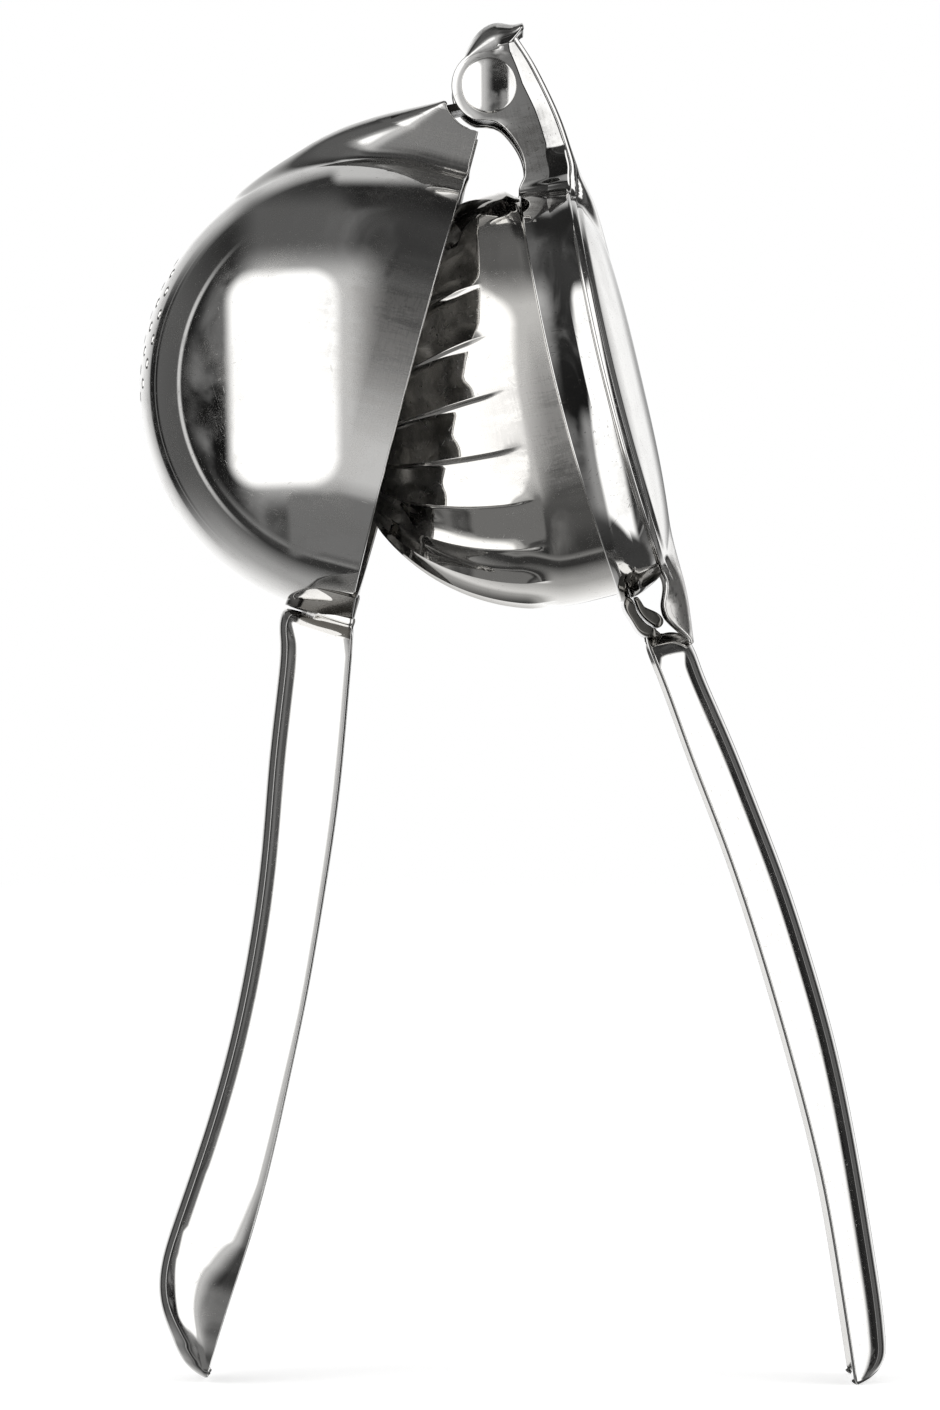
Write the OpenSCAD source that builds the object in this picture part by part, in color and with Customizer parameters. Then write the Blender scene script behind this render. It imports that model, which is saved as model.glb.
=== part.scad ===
// Hinged lemon squeezer: two stamped steel arms that turn on one rivet pin.
// One arm carries a strainer bowl, the other a fluted press dome that swings into it.
//
// Each arm is drawn in its own frame: s runs from the pin down the arm, q points away from the
// other arm, and y runs along the pin. The arms are then leant apart and stood on their tips.

/* [Bowl] */
// Outer radius of the strainer bowl
bowl_r = 37; // [31:0.5:45]
// Depth of the straight band between the rim and the round part
bowl_band = 6; // [4:0.5:9]
// Sheet thickness of the bowl
bowl_wall = 1; // [0.8:0.1:1.3]
// Distance from the pin's axis to the edge of the bowl
neck_length = 13.8; // [12:0.2:18]
// How far the drawn neck stands off the round of the bowl
neck_bulge = 5.6; // [3:0.2:7]
// Diameter of a juice hole
juice_hole_d = 2; // [1.6:0.2:4]
// Distance between juice holes over the bowl
juice_hole_pitch = 4; // [3.4:0.2:7]
// Rings of juice holes round the middle one
juice_hole_rings = 3; // [1:1:4]

/* [Press] */
// Gap between the bowl and the skirt ring that nests in it
ring_gap = 2.2; // [1.6:0.1:4]
// Height of the skirt ring
ring_height = 7.6; // [6:0.2:10]
// How far the press dome stands off the skirt ring's middle
dome_offset = 4; // [2:0.5:6]
// Number of ridges round the dome
rib_count = 22; // [12:1:28]
// Height of a ridge
rib_height = 0.9; // [0.5:0.1:1.4]
// Thickness of a ridge
rib_width = 1.2; // [0.8:0.1:2]
// Height of the back cover's crest above the rim plane
crest_height = 12.7; // [11.5:0.1:15]

/* [Handles] */
// Length of the bowl arm's handle
bowl_handle_length = 122.6; // [100:0.2:150]
// Length of the press arm's handle
press_handle_length = 123.2; // [100:0.2:150]
// Width of both handles
handle_width = 22; // [19:0.5:27]
// Radius of the corners at a handle's tip
tip_corner = 7; // [4:0.5:9]
// Sheet thickness of handles, frame and straps
sheet = 1.2; // [1:0.1:1.5]

/* [Hinge] */
// Diameter of the pin
pin_d = 6; // [5:0.1:7]
// Diameter of the pin's domed head
pin_head_d = 8.6; // [8.4:0.1:10.5]
// Outer radius of the eye round the pin
eye_r = 5.8; // [5.2:0.1:6.8]
// Width over the two ears
ear_width = 16; // [14:0.5:20]

/* [Pose] */
// Lean of the bowl arm from upright
bowl_lean = 14.84; // [12:0.01:30]
// Lean of the press arm from upright
press_lean = 14; // [12:0.01:30]

/* [Clearances] */
// Radial running clearance of the knuckle on the pin
pin_clearance = 0.05; // [0.02:0.01:0.1]
// Side clearance between the knuckle and each ear
knuckle_clearance = 0.3; // [0.2:0.05:0.6]
// Gap between faces that are welded or crimped together
seat_gap = 0.05; // [0.02:0.01:0.1]
// Radial clearance of the dome in the skirt ring
dome_fit = 0.3; // [0.1:0.05:0.4]

/* [Hidden] */
$fn = 96;
cut = 1;

bowl_reach = neck_length + bowl_r;
bowl_end = bowl_reach + bowl_r;
pin_r = pin_d / 2;
ear_inside = ear_width - 2 * sheet;
knuckle_r = eye_r - 0.8;
knuckle_width = ear_inside - 2 * knuckle_clearance;
washer_r = pin_r + 1.5;
washer_t = 0.8;
peen_height = 1.1;
pin_head_height = 1.9;

ring_r = bowl_r - bowl_wall - ring_gap;
ring_wall = 1;
ring_top = bowl_reach - ring_r;
ring_end = bowl_reach + ring_r;
bend_r = 240;
rim_low = -1.6;
crease_low = rim_low + ring_height;
flange_width = 5;
dome_r = ring_r - ring_wall - dome_fit;
cover_t = 1;
crown_inset = 0.6;
hem_overhang = 0.3;

bowl_handle_start = bowl_end + 0.6;
press_handle_start = ring_end + 6.5;

// ---- curves ----

// A cubic curve from a to d with the handles b and c.
function curve(a, b, c, d, steps = 12) = [
    for (i = [0:steps])
        let (t = i / steps, u = 1 - t)
            u * u * u * a + 3 * u * u * t * b + 3 * u * t * t * c + t * t * t * d
];

// Points on an arc round centre c, from angle a0 to a1.
function arc(c, r, a0, a1, steps = 10) = [
    for (i = [0:steps])
        let (a = a0 + (a1 - a0) * i / steps) c + r * [cos(a), sin(a)]
];

function reversed(path) = [for (i = [len(path) - 1:-1:0]) path[i]];

// Unit normal to the left of a path at point i.
function normal_at(path, i) =
    let (d = path[min(i + 1, len(path) - 1)] - path[max(i - 1, 0)])
        [-d.y, d.x] / norm(d);

// The path moved sideways by a distance, to its left when positive.
function shifted(path, distance) = [
    for (i = [0:len(path) - 1]) path[i] + distance * normal_at(path, i)
];

// The skirt ring's front rim and back crease both bow along the arm.
function bow(s) = pow(s - bowl_reach, 2) / (2 * bend_r);
function bowed(height, s0, s1, steps = 14) = [
    for (i = [0:steps]) let (s = s0 + (s1 - s0) * i / steps) [s, height + bow(s)]
];

// ---- outlines in the plane of s and q ----

function bowl_handle_s(share) = bowl_handle_start + share * bowl_handle_length;
function press_handle_s(share) = press_handle_start + share * press_handle_length;

// Back of the bowl arm's handle, from the bowl to the end of the hooked tip.
bowl_handle_back = concat(
    curve([bowl_handle_s(0), 10.5], [bowl_handle_s(0.193), 7.6],
          [bowl_handle_s(0.406), 1.2], [bowl_handle_s(0.602), 1.2]),
    curve([bowl_handle_s(0.61), 1.2], [bowl_handle_s(0.684), 1.2],
          [bowl_handle_s(0.782), 2.9], [bowl_handle_s(0.864), 2.9], 5),
    curve([bowl_handle_s(0.872), 2.9], [bowl_handle_s(0.93), 2.9],
          [bowl_handle_s(1), -3.5], [bowl_handle_s(1), -9.2], 8)
);
bowl_handle_front = curve(
    [bowl_handle_s(0), -0.8], [bowl_handle_s(0.259), -7],
    [bowl_handle_s(0.627), -12.2], [bowl_handle_s(1), -9.2]
);

// Back of the press arm's handle, from its closed top to the end of the hooked tip.
press_handle_back = concat(
    [[press_handle_s(0.004), 3.3], [press_handle_s(0), 7.6]],
    arc([press_handle_s(0.0155), 7.7], 1.9, 165, 110, 3),
    curve([press_handle_s(0.022), 9.9], [press_handle_s(0.194), 13.4],
          [press_handle_s(0.397), 17], [press_handle_s(0.6), 17]),
    curve([press_handle_s(0.61), 17], [press_handle_s(0.722), 17],
          [press_handle_s(0.844), 15], [press_handle_s(0.949), 13.5], 6),
    curve([press_handle_s(0.956), 13.4], [press_handle_s(0.985), 12.9],
          [press_handle_s(1.002), 10.5], [press_handle_s(1), 6.8], 6)
);
press_handle_front = curve(
    [press_handle_s(0.004), 3.3], [press_handle_s(0.275), 7],
    [press_handle_s(0.64), 12], [press_handle_s(1), 6.8]
);

// Outer face of the frame's web, from the hood to the skirt ring.
web_outer = concat(
    curve([-5.6, 5.9], [0, 7.6], [ring_top - 9, 9.6], [ring_top - 0.5, 9.8], 8),
    curve([ring_top, 9.8], [ring_top + 2.5, 9.8], [ring_top + 5, crease_low + 2.2],
          [ring_top + 8, crease_low + bow(ring_top + 8) - ring_wall / 2], 6)
);
web_inner = shifted(web_outer, -sheet);
// Front edge of an ear, from the eye to the skirt ring.
ear_front = curve(
    [4.6, -3.2], [5.7, 0.6], [ring_top - 5.5, 4.4], [ring_top + 1.4, 0.8], 10
);
hood_centre = [-6.7, 2.5];
hood_r = 3.6;

// Crest of the back cover, from the hood over the crown to the handle.
cover_crest = concat(
    shifted([for (i = [0:7]) web_outer[i]], cover_t + seat_gap),
    curve([ring_top - 1.2, 11], [ring_top + 4, 12.3], [ring_top + 14, crest_height],
          [bowl_reach - 6, crest_height], 8),
    curve([bowl_reach, crest_height - 0.1], [bowl_reach + 12, crest_height - 0.3],
          [ring_end - 14, 11.2], [ring_end - 6, 11.3], 8),
    curve([ring_end - 2, 11.5], [ring_end + 1, 11.7], [ring_end + 4, 11.7],
          [press_handle_start + 1.8, 11], 5)
);
cover_base = concat(
    shifted([for (i = [0:8]) web_outer[i]], seat_gap),
    bowed(crease_low + seat_gap, ring_top + 0.2, ring_end, 12),
    [[press_handle_start - 0.3, 8.4], [press_handle_start - 0.3, 9.95],
     [press_handle_start + 1.8, 9.95]]
);

// ---- placing ----

// Turns an outline of s and q into a plate across the arm.
module side(width) {
    rotate([90, 90, 0])
        linear_extrude(height = width, center = true)
            children();
}

// Turns an outline of s and y into a plate from q0 to q1.
module plan(q0, q1) {
    translate([q0, 0, 0])
        rotate([0, 90, 0])
            linear_extrude(height = q1 - q0)
                children();
}

// Puts a shape drawn round the z axis on the bowl's axis, with z as q.
module on_bowl_axis() {
    translate([0, 0, -bowl_reach])
        rotate([0, 90, 0])
            children();
}

// Puts a shape drawn round the z axis on the pin's axis.
module on_pin_axis() {
    rotate([90, 0, 0])
        children();
}

function down_bowl(p) = [
    -p.y * cos(bowl_lean) - p.x * sin(bowl_lean),
    p.y * sin(bowl_lean) - p.x * cos(bowl_lean)
];
function down_press(p) = [
    p.y * cos(press_lean) + p.x * sin(press_lean),
    p.y * sin(press_lean) - p.x * cos(press_lean)
];
left_x = down_bowl([bowl_reach, bowl_band]).x - bowl_r;
right_x = max([for (p = press_handle_back) down_press(p).x]);
bottom_z = min([
    for (p = bowl_handle_back) down_bowl(p).y,
    for (p = press_handle_back) down_press(p).y
]);
pin_place = [-(left_x + right_x) / 2, 0, -bottom_z];

module bowl_arm() {
    translate(pin_place)
        rotate([0, bowl_lean, 0])
            mirror([1, 0, 0])
                children();
}

module press_arm() {
    translate(pin_place)
        rotate([0, -press_lean, 0])
            children();
}

// ---- bowl arm ----

// Straight band and round part, smaller by inset all round.
module bowl_form(inset) {
    on_bowl_axis() {
        translate([0, 0, inset > 0 ? -cut : 0])
            cylinder(r = bowl_r - inset, h = bowl_band + (inset > 0 ? cut : 0));
        intersection() {
            translate([0, 0, bowl_band])
                sphere(r = bowl_r - inset);
            translate([0, 0, bowl_band])
                cylinder(r = bowl_r + cut, h = bowl_r + cut);
        }
    }
}

flare_mid = neck_length + 3.2;
flare_mid_r = sqrt(pow(bowl_r, 2) - pow(bowl_reach - flare_mid, 2)) + neck_bulge;
flare_end_run = 0.59 * bowl_r;
flare_end = bowl_reach - flare_end_run;
flare_end_r = sqrt(pow(bowl_r, 2) - pow(flare_end_run, 2)) - 0.4;
flare_start = 6.2;
flare_start_r = ear_width / 2 - 2.5;

// Flared part of the neck between its flat sides: cones above the band, and the same outline
// carried straight down below it.
module neck_flare(inset) {
    outline = [
        [flare_start, flare_start_r - inset],
        [flare_mid, flare_mid_r - inset],
        [flare_end, flare_end_r - inset]
    ];
    intersection() {
        side(ear_width - 2 * inset)
            translate([0, -2 * cut])
                square([bowl_reach, 2 * bowl_r]);
        union() {
            intersection() {
                translate([bowl_band, 0, 0])
                    rotate([0, 180, 0])
                        rotate_extrude()
                            polygon([
                                [0, outline[0].x],
                                [outline[0].y, outline[0].x],
                                [outline[1].y, outline[1].x],
                                [outline[2].y, outline[2].x],
                                [0, outline[2].x]
                            ]);
                plan(bowl_band, bowl_band + bowl_r)
                    translate([0, -bowl_r])
                        square([bowl_reach, 2 * bowl_r]);
            }
            plan(inset > 0 ? -cut : 0, bowl_band)
                polygon(concat(
                    [for (p = outline) p],
                    [for (p = reversed(outline)) [p.x, -p.y]]
                ));
        }
    }
}

neck_back = [
    [3.7, bowl_band + 0.3],
    [8.4, bowl_band + 9.8],
    [flare_mid, bowl_band + flare_mid_r],
    [flare_mid + 3, bowl_band + flare_mid_r]
];

// Flat-sided end of the neck that reaches up to the pin.
module neck_end() {
    side(ear_width)
        polygon(concat(
            [[flare_mid + 3, 0], [7, 0], [7, 1.6], [5.4, bowl_band]],
            neck_back
        ));
}

// Hollow of the neck's end, open towards the pin.
module neck_end_hollow() {
    inner_back = [for (p = neck_back) p + bowl_wall * [0.9, -0.5]];
    side(ear_width - 2 * bowl_wall)
        polygon(concat(
            [[flare_mid + 4, -cut], [2, -cut], [2, bowl_band - 5.2]],
            inner_back
        ));
}

module juice_holes() {
    hole_angle = juice_hole_pitch / bowl_r * 180 / PI;
    on_bowl_axis()
        translate([0, 0, bowl_band])
            for (ring = [0:juice_hole_rings])
                for (i = [0:max(1, 6 * ring) - 1])
                    rotate([0, ring * hole_angle, i * 360 / max(1, 6 * ring)])
                        translate([0, 0, bowl_r - bowl_wall - cut])
                            cylinder(d = juice_hole_d, h = bowl_wall + 2 * cut, $fn = 32);
}

module strainer_bowl() {
    color("silver")
        bowl_arm()
            difference() {
                union() {
                    bowl_form(0);
                    neck_flare(0);
                    neck_end();
                }
                bowl_form(bowl_wall);
                neck_flare(bowl_wall);
                neck_end_hollow();
                juice_holes();
            }
}

// Barrel on the pin and the tongue that lies under the neck's back.
module bowl_knuckle() {
    tongue_top = neck_back[0] + bowl_wall * [0.9, -0.5];
    tongue_end = neck_back[1] + bowl_wall * [0.9, -0.5];
    along = (tongue_end - tongue_top) / norm(tongue_end - tongue_top);
    inward = [along.y, -along.x];
    face = tongue_top + seat_gap * inward;
    color("lightgray")
        bowl_arm()
            difference() {
                union() {
                    on_pin_axis()
                        cylinder(r = knuckle_r, h = knuckle_width, center = true);
                    side(knuckle_width)
                        polygon([
                            face - 3.4 * along,
                            face + 9 * along,
                            face + 9 * along + sheet * inward,
                            face - 3.4 * along + sheet * inward
                        ]);
                }
                on_pin_axis()
                    cylinder(r = pin_r + pin_clearance, h = knuckle_width + 2 * cut, center = true);
            }
}

strap_width = handle_width - 2 * sheet - 2;

// Saddle round the bowl's foot with a leg that lies inside the handle's back.
module bowl_tang() {
    leg = shifted([for (i = [0:5]) bowl_handle_back[i]], -sheet - 2 * seat_gap);
    saddle_front = 0.8;
    color("gray")
        bowl_arm() {
            intersection() {
                difference() {
                    bowl_form(-seat_gap - sheet);
                    bowl_form(-seat_gap);
                    neck_flare(-seat_gap);
                }
                translate([saddle_front, -strap_width / 2, -bowl_end - 2 * sheet])
                    cube([leg[0].y - sheet / 2 - saddle_front, strap_width, bowl_r / 2]);
            }
            difference() {
                side(strap_width)
                    polygon(concat(
                        [[bowl_end - 3, leg[0].y], [bowl_end - 3, leg[0].y - sheet]],
                        shifted(leg, -sheet),
                        reversed(leg)
                    ));
                bowl_form(-seat_gap);
            }
        }
}

// Outline of a handle seen from its back, with round corners at the tip.
module handle_plan(start, end, width, corner) {
    polygon(concat(
        [[start, -width / 2]],
        arc([end - corner, -width / 2 + corner], corner, -90, 0),
        arc([end - corner, width / 2 - corner], corner, 0, 90),
        [[start, width / 2]]
    ));
}

// Pressed tray between its back and front outlines, open on its front.
module tray(back, front, tip) {
    inner_back = shifted(back, -sheet);
    top = min(back[0].x, front[0].x);
    difference() {
        intersection() {
            side(handle_width)
                polygon(concat(back, reversed(front)));
            plan(-30, 30)
                handle_plan(top - 5, tip, handle_width, tip_corner);
        }
        intersection() {
            side(handle_width - 2 * sheet)
                polygon(concat(
                    [[inner_back[0].x, inner_back[0].y - 8]],
                    inner_back,
                    [inner_back[len(inner_back) - 1] - [0, 8]],
                    reversed([for (p = front) p - [0, 6]])
                ));
            plan(-30, 30)
                handle_plan(top - 6, tip - sheet, handle_width - 2 * sheet, tip_corner - sheet);
        }
    }
}

module bowl_handle() {
    mouth = 6;
    color("silver")
        bowl_arm()
            difference() {
                tray(bowl_handle_back, bowl_handle_front, bowl_handle_s(1));
                side(handle_width - 2 * sheet)
                    polygon([
                        [bowl_handle_start - cut, -10],
                        [bowl_handle_start - cut, bowl_handle_back[0].y - sheet],
                        [bowl_handle_start + mouth, bowl_handle_back[0].y - sheet - 2],
                        [bowl_handle_start + mouth, -10]
                    ]);
            }
}

// ---- press arm ----

// Side view of the stamping over the pin: two eyes, the curl and the bent web.
module channel_outline() {
    circle(r = eye_r);
    translate(hood_centre)
        circle(r = hood_r);
    polygon(concat(
        [[-6, 1]],
        ear_front,
        [[ring_top + 1.4, crease_low + 1.5]],
        reversed([for (i = [0:8]) web_outer[i]])
    ));
    polygon(concat(web_outer, reversed(web_inner)));
}

// Space between the two ears, under the web and inside the curl.
module channel_hollow() {
    polygon(concat(
        arc(hood_centre, hood_r - sheet, 256, 76, 16),
        [for (i = [1:len(web_inner) - 1]) web_inner[i]],
        [[ring_top + 12, crease_low - 2], [ring_top + 12, -20], [-16, -20], [-16, -6]],
        [hood_centre + (hood_r + 0.5) * [cos(256), sin(256)]]
    ));
}

// Skirt round the dome with a flange turned in along its back crease.
module skirt_ring() {
    intersection() {
        on_bowl_axis()
            translate([0, 0, -20])
                difference() {
                    cylinder(r = ring_r, h = 40);
                    translate([0, 0, -cut])
                        cylinder(r = ring_r - ring_wall, h = 40 + 2 * cut);
                }
        side(2 * bowl_r + 10)
            polygon(concat(
                bowed(rim_low, ring_top - 1, ring_end + 1),
                reversed(bowed(crease_low, ring_top - 1, ring_end + 1))
            ));
    }
    intersection() {
        on_bowl_axis()
            translate([0, 0, -20])
                difference() {
                    cylinder(r = ring_r - ring_wall / 2, h = 40);
                    translate([0, 0, -cut])
                        cylinder(r = ring_r - flange_width, h = 40 + 2 * cut);
                }
        side(2 * bowl_r + 10)
            polygon(concat(
                bowed(crease_low - ring_wall, ring_top - 1, ring_end + 1),
                reversed(bowed(crease_low, ring_top - 1, ring_end + 1))
            ));
    }
}

// Lip that flares from the back of the curl.
module lip() {
    side(ear_width - 4)
        polygon([[-6.8, 5.2], [-9.1, 4.9], [-9.3, 6.8], [-8.6, 7.6], [-7.9, 7.4], [-6.2, 5.8]]);
}

module press_frame() {
    color("silver")
        press_arm()
            difference() {
                union() {
                    difference() {
                        side(ear_width)
                            channel_outline();
                        side(ear_inside)
                            channel_hollow();
                    }
                    lip();
                    skirt_ring();
                }
                on_pin_axis()
                    cylinder(r = pin_r, h = ear_width + 2 * cut, center = true);
            }
}

// Round half shell below the dome's foot, of a given radius.
module dome_form(foot_r, round_r, foot_top) {
    translate([0, 0, -dome_offset])
        cylinder(r = foot_r, h = foot_top + dome_offset);
    intersection() {
        translate([0, 0, -dome_offset])
            sphere(r = round_r);
        translate([0, 0, -dome_offset - dome_r])
            cylinder(r = dome_r, h = dome_r);
    }
}

// Round shell with a straight foot and ridges that meet round its pole.
module press_dome() {
    foot_top = crease_low - ring_wall - seat_gap;
    shell_r = dome_r - rib_height;
    ridge_end = -acos(0.32);
    color("lightgray")
        press_arm()
            on_bowl_axis() {
                difference() {
                    dome_form(dome_r, shell_r, foot_top);
                    translate([0, 0, cut])
                        dome_form(shell_r - ring_wall, shell_r - ring_wall, foot_top);
                }
                for (i = [0:rib_count - 1])
                    rotate([0, 0, i * 360 / rib_count])
                        translate([0, 0, -dome_offset])
                            rotate([90, 0, 0])
                                linear_extrude(height = rib_width, center = true)
                                    polygon(concat(
                                        arc([0, 0], dome_r, -8, ridge_end, 9),
                                        arc([0, 0], shell_r - 0.5, ridge_end, -8, 9)
                                    ));
            }
}

// Outline of the cover seen from its back: strip, round crown and tail.
module cover_plan(inset) {
    half = ear_width / 2 - inset;
    tail = handle_width / 2 - 0.5 - inset;
    translate([-7, -half])
        square([bowl_reach, 2 * half]);
    translate([bowl_reach, 0])
        circle(r = ring_r - crown_inset - inset);
    translate([bowl_reach, -tail])
        square([ring_r + 30, 2 * tail]);
}

// Thin dish over the ring with its strip and tail, before the web's relief is cut.
module crown() {
    vault_r = 104;
    difference() {
        intersection() {
            side(3 * bowl_r)
                polygon(concat(cover_base, reversed(cover_crest)));
            plan(-30, 30)
                cover_plan(0);
            translate([crest_height - vault_r, 0, -250])
                cylinder(r = vault_r, h = 300);
        }
        intersection() {
            side(3 * bowl_r)
                polygon(concat(
                    [[ring_top + 1.6, -30]],
                    [for (p = shifted(cover_crest, -cover_t)) if (p.x > ring_top + 1.6) p],
                    [[press_handle_start + 3, 9], [press_handle_start + 3, -30]]
                ));
            plan(-30, 30)
                cover_plan(cover_t);
            translate([crest_height - vault_r, 0, -250])
                cylinder(r = vault_r - cover_t, h = 300);
        }
    }
}

// Flat hem of the cover along the skirt ring's back crease.
module hem() {
    intersection() {
        on_bowl_axis()
            translate([0, 0, -20])
                difference() {
                    cylinder(r = ring_r + hem_overhang, h = 60);
                    translate([0, 0, -cut])
                        cylinder(r = ring_r - flange_width, h = 60 + 2 * cut);
                }
        side(3 * bowl_r)
            polygon(concat(
                bowed(crease_low + seat_gap, ring_top + 2, ring_end - 2),
                reversed(bowed(crease_low + seat_gap + cover_t, ring_top + 2, ring_end - 2))
            ));
    }
}

// Crowned plate over the frame's back, hemmed round the skirt ring's crease.
module back_cover() {
    web_end = [for (i = [8:len(web_outer) - 1]) web_outer[i]];
    color("gainsboro")
        press_arm()
            difference() {
                union() {
                    crown();
                    hem();
                }
                side(ear_width + 2 * seat_gap)
                    polygon(concat(
                        shifted(web_end, seat_gap),
                        [[ring_top + 8, 0], [ring_top - 0.5, 0]]
                    ));
            }
}

// Folded strap between the skirt ring and the closed top of the handle.
module press_tang() {
    top = press_handle_start - seat_gap;
    outer = [
        [ring_end - 2.5, 1.4], [ring_end + 2, 1.2], [top - 1.7, 2],
        [top - 0.4, 3.2], [top, 4.4], [top, 7.9], [ring_end - 2.5, 7.9]
    ];
    inner = [
        [ring_end - 3.5, 2.6], [ring_end + 2, 2.4], [top - 2.2, 3.1],
        [top - sheet, 4.4], [top - sheet, 6.7], [ring_end - 3.5, 6.7]
    ];
    color("gray")
        press_arm()
            difference() {
                side(strap_width)
                    polygon(outer);
                side(strap_width + 2 * cut)
                    polygon(inner);
                on_bowl_axis()
                    translate([0, 0, -20])
                        cylinder(r = ring_r + seat_gap, h = 40);
            }
}

module press_handle() {
    color("silver")
        press_arm()
            tray(press_handle_back, press_handle_front, press_handle_s(1));
}

// ---- hinge ----

// Half outline of a low dome, from its rim to its pole, for a rim on z = base.
function low_dome(rim_r, height, base) =
    let (r = (pow(rim_r, 2) + pow(height, 2)) / (2 * height), a = asin(rim_r / r))
        [for (p = arc([0, base + height - r], r, 90 - a, 90, 8)) [max(p.x, 0), p.y]];

// Rivet with a low domed head on the near ear and a peened end on the washer.
module hinge_pin() {
    head_base = ear_width / 2 + seat_gap;
    head_edge = 0.5;
    far_end = head_base + washer_t + seat_gap;
    peen = low_dome(pin_r + 0.8, peen_height, far_end);
    head = low_dome(pin_head_d / 2, pin_head_height - head_edge, head_base + head_edge);
    color("lightgray")
        press_arm()
            rotate([90, 0, 0])
                rotate_extrude()
                    polygon(concat(
                        reversed([for (p = peen) [p.x, -p.y]]),
                        [[pin_r, -far_end], [pin_r, head_base], [pin_head_d / 2, head_base]],
                        head
                    ));
}

module pin_washer() {
    color("darkgray")
        press_arm()
            rotate([-90, 0, 0])
                translate([0, 0, ear_width / 2 + seat_gap])
                    difference() {
                        cylinder(r = washer_r, h = washer_t);
                        translate([0, 0, -cut])
                            cylinder(r = pin_r, h = washer_t + 2 * cut);
                    }
}

strainer_bowl();
bowl_knuckle();
bowl_tang();
bowl_handle();
press_frame();
press_dome();
back_cover();
press_tang();
press_handle();
hinge_pin();
pin_washer();
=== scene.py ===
"""Looks of the hinged lemon squeezer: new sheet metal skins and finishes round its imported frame.

Each arm is drawn in its own frame, in millimetres: s runs from the pin down the arm, y along the
pin, and q away from the other arm. Skins are grids or profiles of that frame, given a wall and
rounded edges, and then placed in the row frame in metres.
"""

import logging
import math
from collections.abc import Sequence
from dataclasses import dataclass, field, replace
from enum import Enum
from functools import partial

import bpy
import numpy as np
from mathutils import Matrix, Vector
from mathutils.geometry import delaunay_2d_cdt


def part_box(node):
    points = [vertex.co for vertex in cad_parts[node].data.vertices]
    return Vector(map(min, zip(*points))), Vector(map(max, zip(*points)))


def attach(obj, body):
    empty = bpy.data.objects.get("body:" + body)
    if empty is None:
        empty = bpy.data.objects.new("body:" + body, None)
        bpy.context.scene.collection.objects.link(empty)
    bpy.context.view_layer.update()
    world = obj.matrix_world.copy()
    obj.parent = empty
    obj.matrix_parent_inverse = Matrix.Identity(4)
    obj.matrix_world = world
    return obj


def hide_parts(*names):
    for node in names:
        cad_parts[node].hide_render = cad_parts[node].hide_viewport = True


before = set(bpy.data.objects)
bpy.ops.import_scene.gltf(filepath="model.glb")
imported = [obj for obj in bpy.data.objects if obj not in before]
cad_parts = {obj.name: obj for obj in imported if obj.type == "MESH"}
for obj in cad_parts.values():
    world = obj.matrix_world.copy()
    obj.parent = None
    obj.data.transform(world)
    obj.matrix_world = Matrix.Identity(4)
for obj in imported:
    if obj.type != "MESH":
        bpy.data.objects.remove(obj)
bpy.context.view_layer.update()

LOG = logging.getLogger("lemon_squeezer")
MM = 0.001
Array = np.ndarray


# ---------------------------------------------------------------- curves and frames


def spline(points: Sequence[Sequence[float]], count: int = 240) -> Array:
    """Natural cubic through the points, by chord length, resampled evenly along its length.

    Args:
        points: two or more points of any dimension.
        count: number of points returned.

    Returns:
        An array of count points.
    """
    knots = np.asarray(points, float)
    chord = np.r_[0, np.cumsum(np.linalg.norm(np.diff(knots, axis=0), axis=1))]
    step = np.diff(chord)
    inner = len(knots) - 2
    bend = np.zeros_like(knots)
    if inner > 0:
        matrix = np.diag(2 * (step[:-1] + step[1:]))
        matrix += np.diag(step[1:-1], 1) + np.diag(step[1:-1], -1)
        slope = np.diff(knots, axis=0) / step[:, None]
        bend[1:-1] = np.linalg.solve(matrix, 6 * np.diff(slope, axis=0))
    at = np.linspace(0, chord[-1], 24 * len(knots))
    i = np.clip(np.searchsorted(chord, at, side="right") - 1, 0, len(step) - 1)
    h = step[i][:, None]
    a = (chord[i + 1] - at)[:, None] / h
    b = 1 - a
    dense = a * knots[i] + b * knots[i + 1]
    dense += ((a**3 - a) * bend[i] + (b**3 - b) * bend[i + 1]) * h**2 / 6
    return resample(dense, np.linspace(0, 1, count))


def resample(path: Array, shares: Array) -> Array:
    """Points of a polyline at the given shares of its length."""
    run = np.r_[0, np.cumsum(np.linalg.norm(np.diff(path, axis=0), axis=1))]
    return np.stack([np.interp(shares * run[-1], run, path[:, k]) for k in range(path.shape[1])], 1)


def smooth(x: Array, low: float, high: float) -> Array:
    """Smooth step from 0 at low to 1 at high."""
    t = np.clip((x - low) / (high - low), 0, 1)
    return t * t * (3 - 2 * t)


@dataclass(frozen=True)
class Arm:
    """One arm's frame.

    Attributes:
        body: name of the arm's body in the record.
        lean: angle between s and straight down, in degrees.
        side: 1 if q points to the right, and -1 if it points to the left.
        pin: the pin's x and z in millimetres.
    """

    body: str
    lean: float
    side: int
    pin: tuple[float, float]

    def place(self, local: Array) -> Array:
        """Turns points (s, y, q) in millimetres into points of the row frame in metres."""
        s, y, q = np.moveaxis(np.asarray(local, float), -1, 0)
        c, d = math.cos(math.radians(self.lean)), math.sin(math.radians(self.lean))
        x = self.pin[0] + self.side * (q * c + s * d)
        z = self.pin[1] + q * d - s * c
        return np.stack([x, y, z], -1) * MM


# ---------------------------------------------------------------- skins


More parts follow.
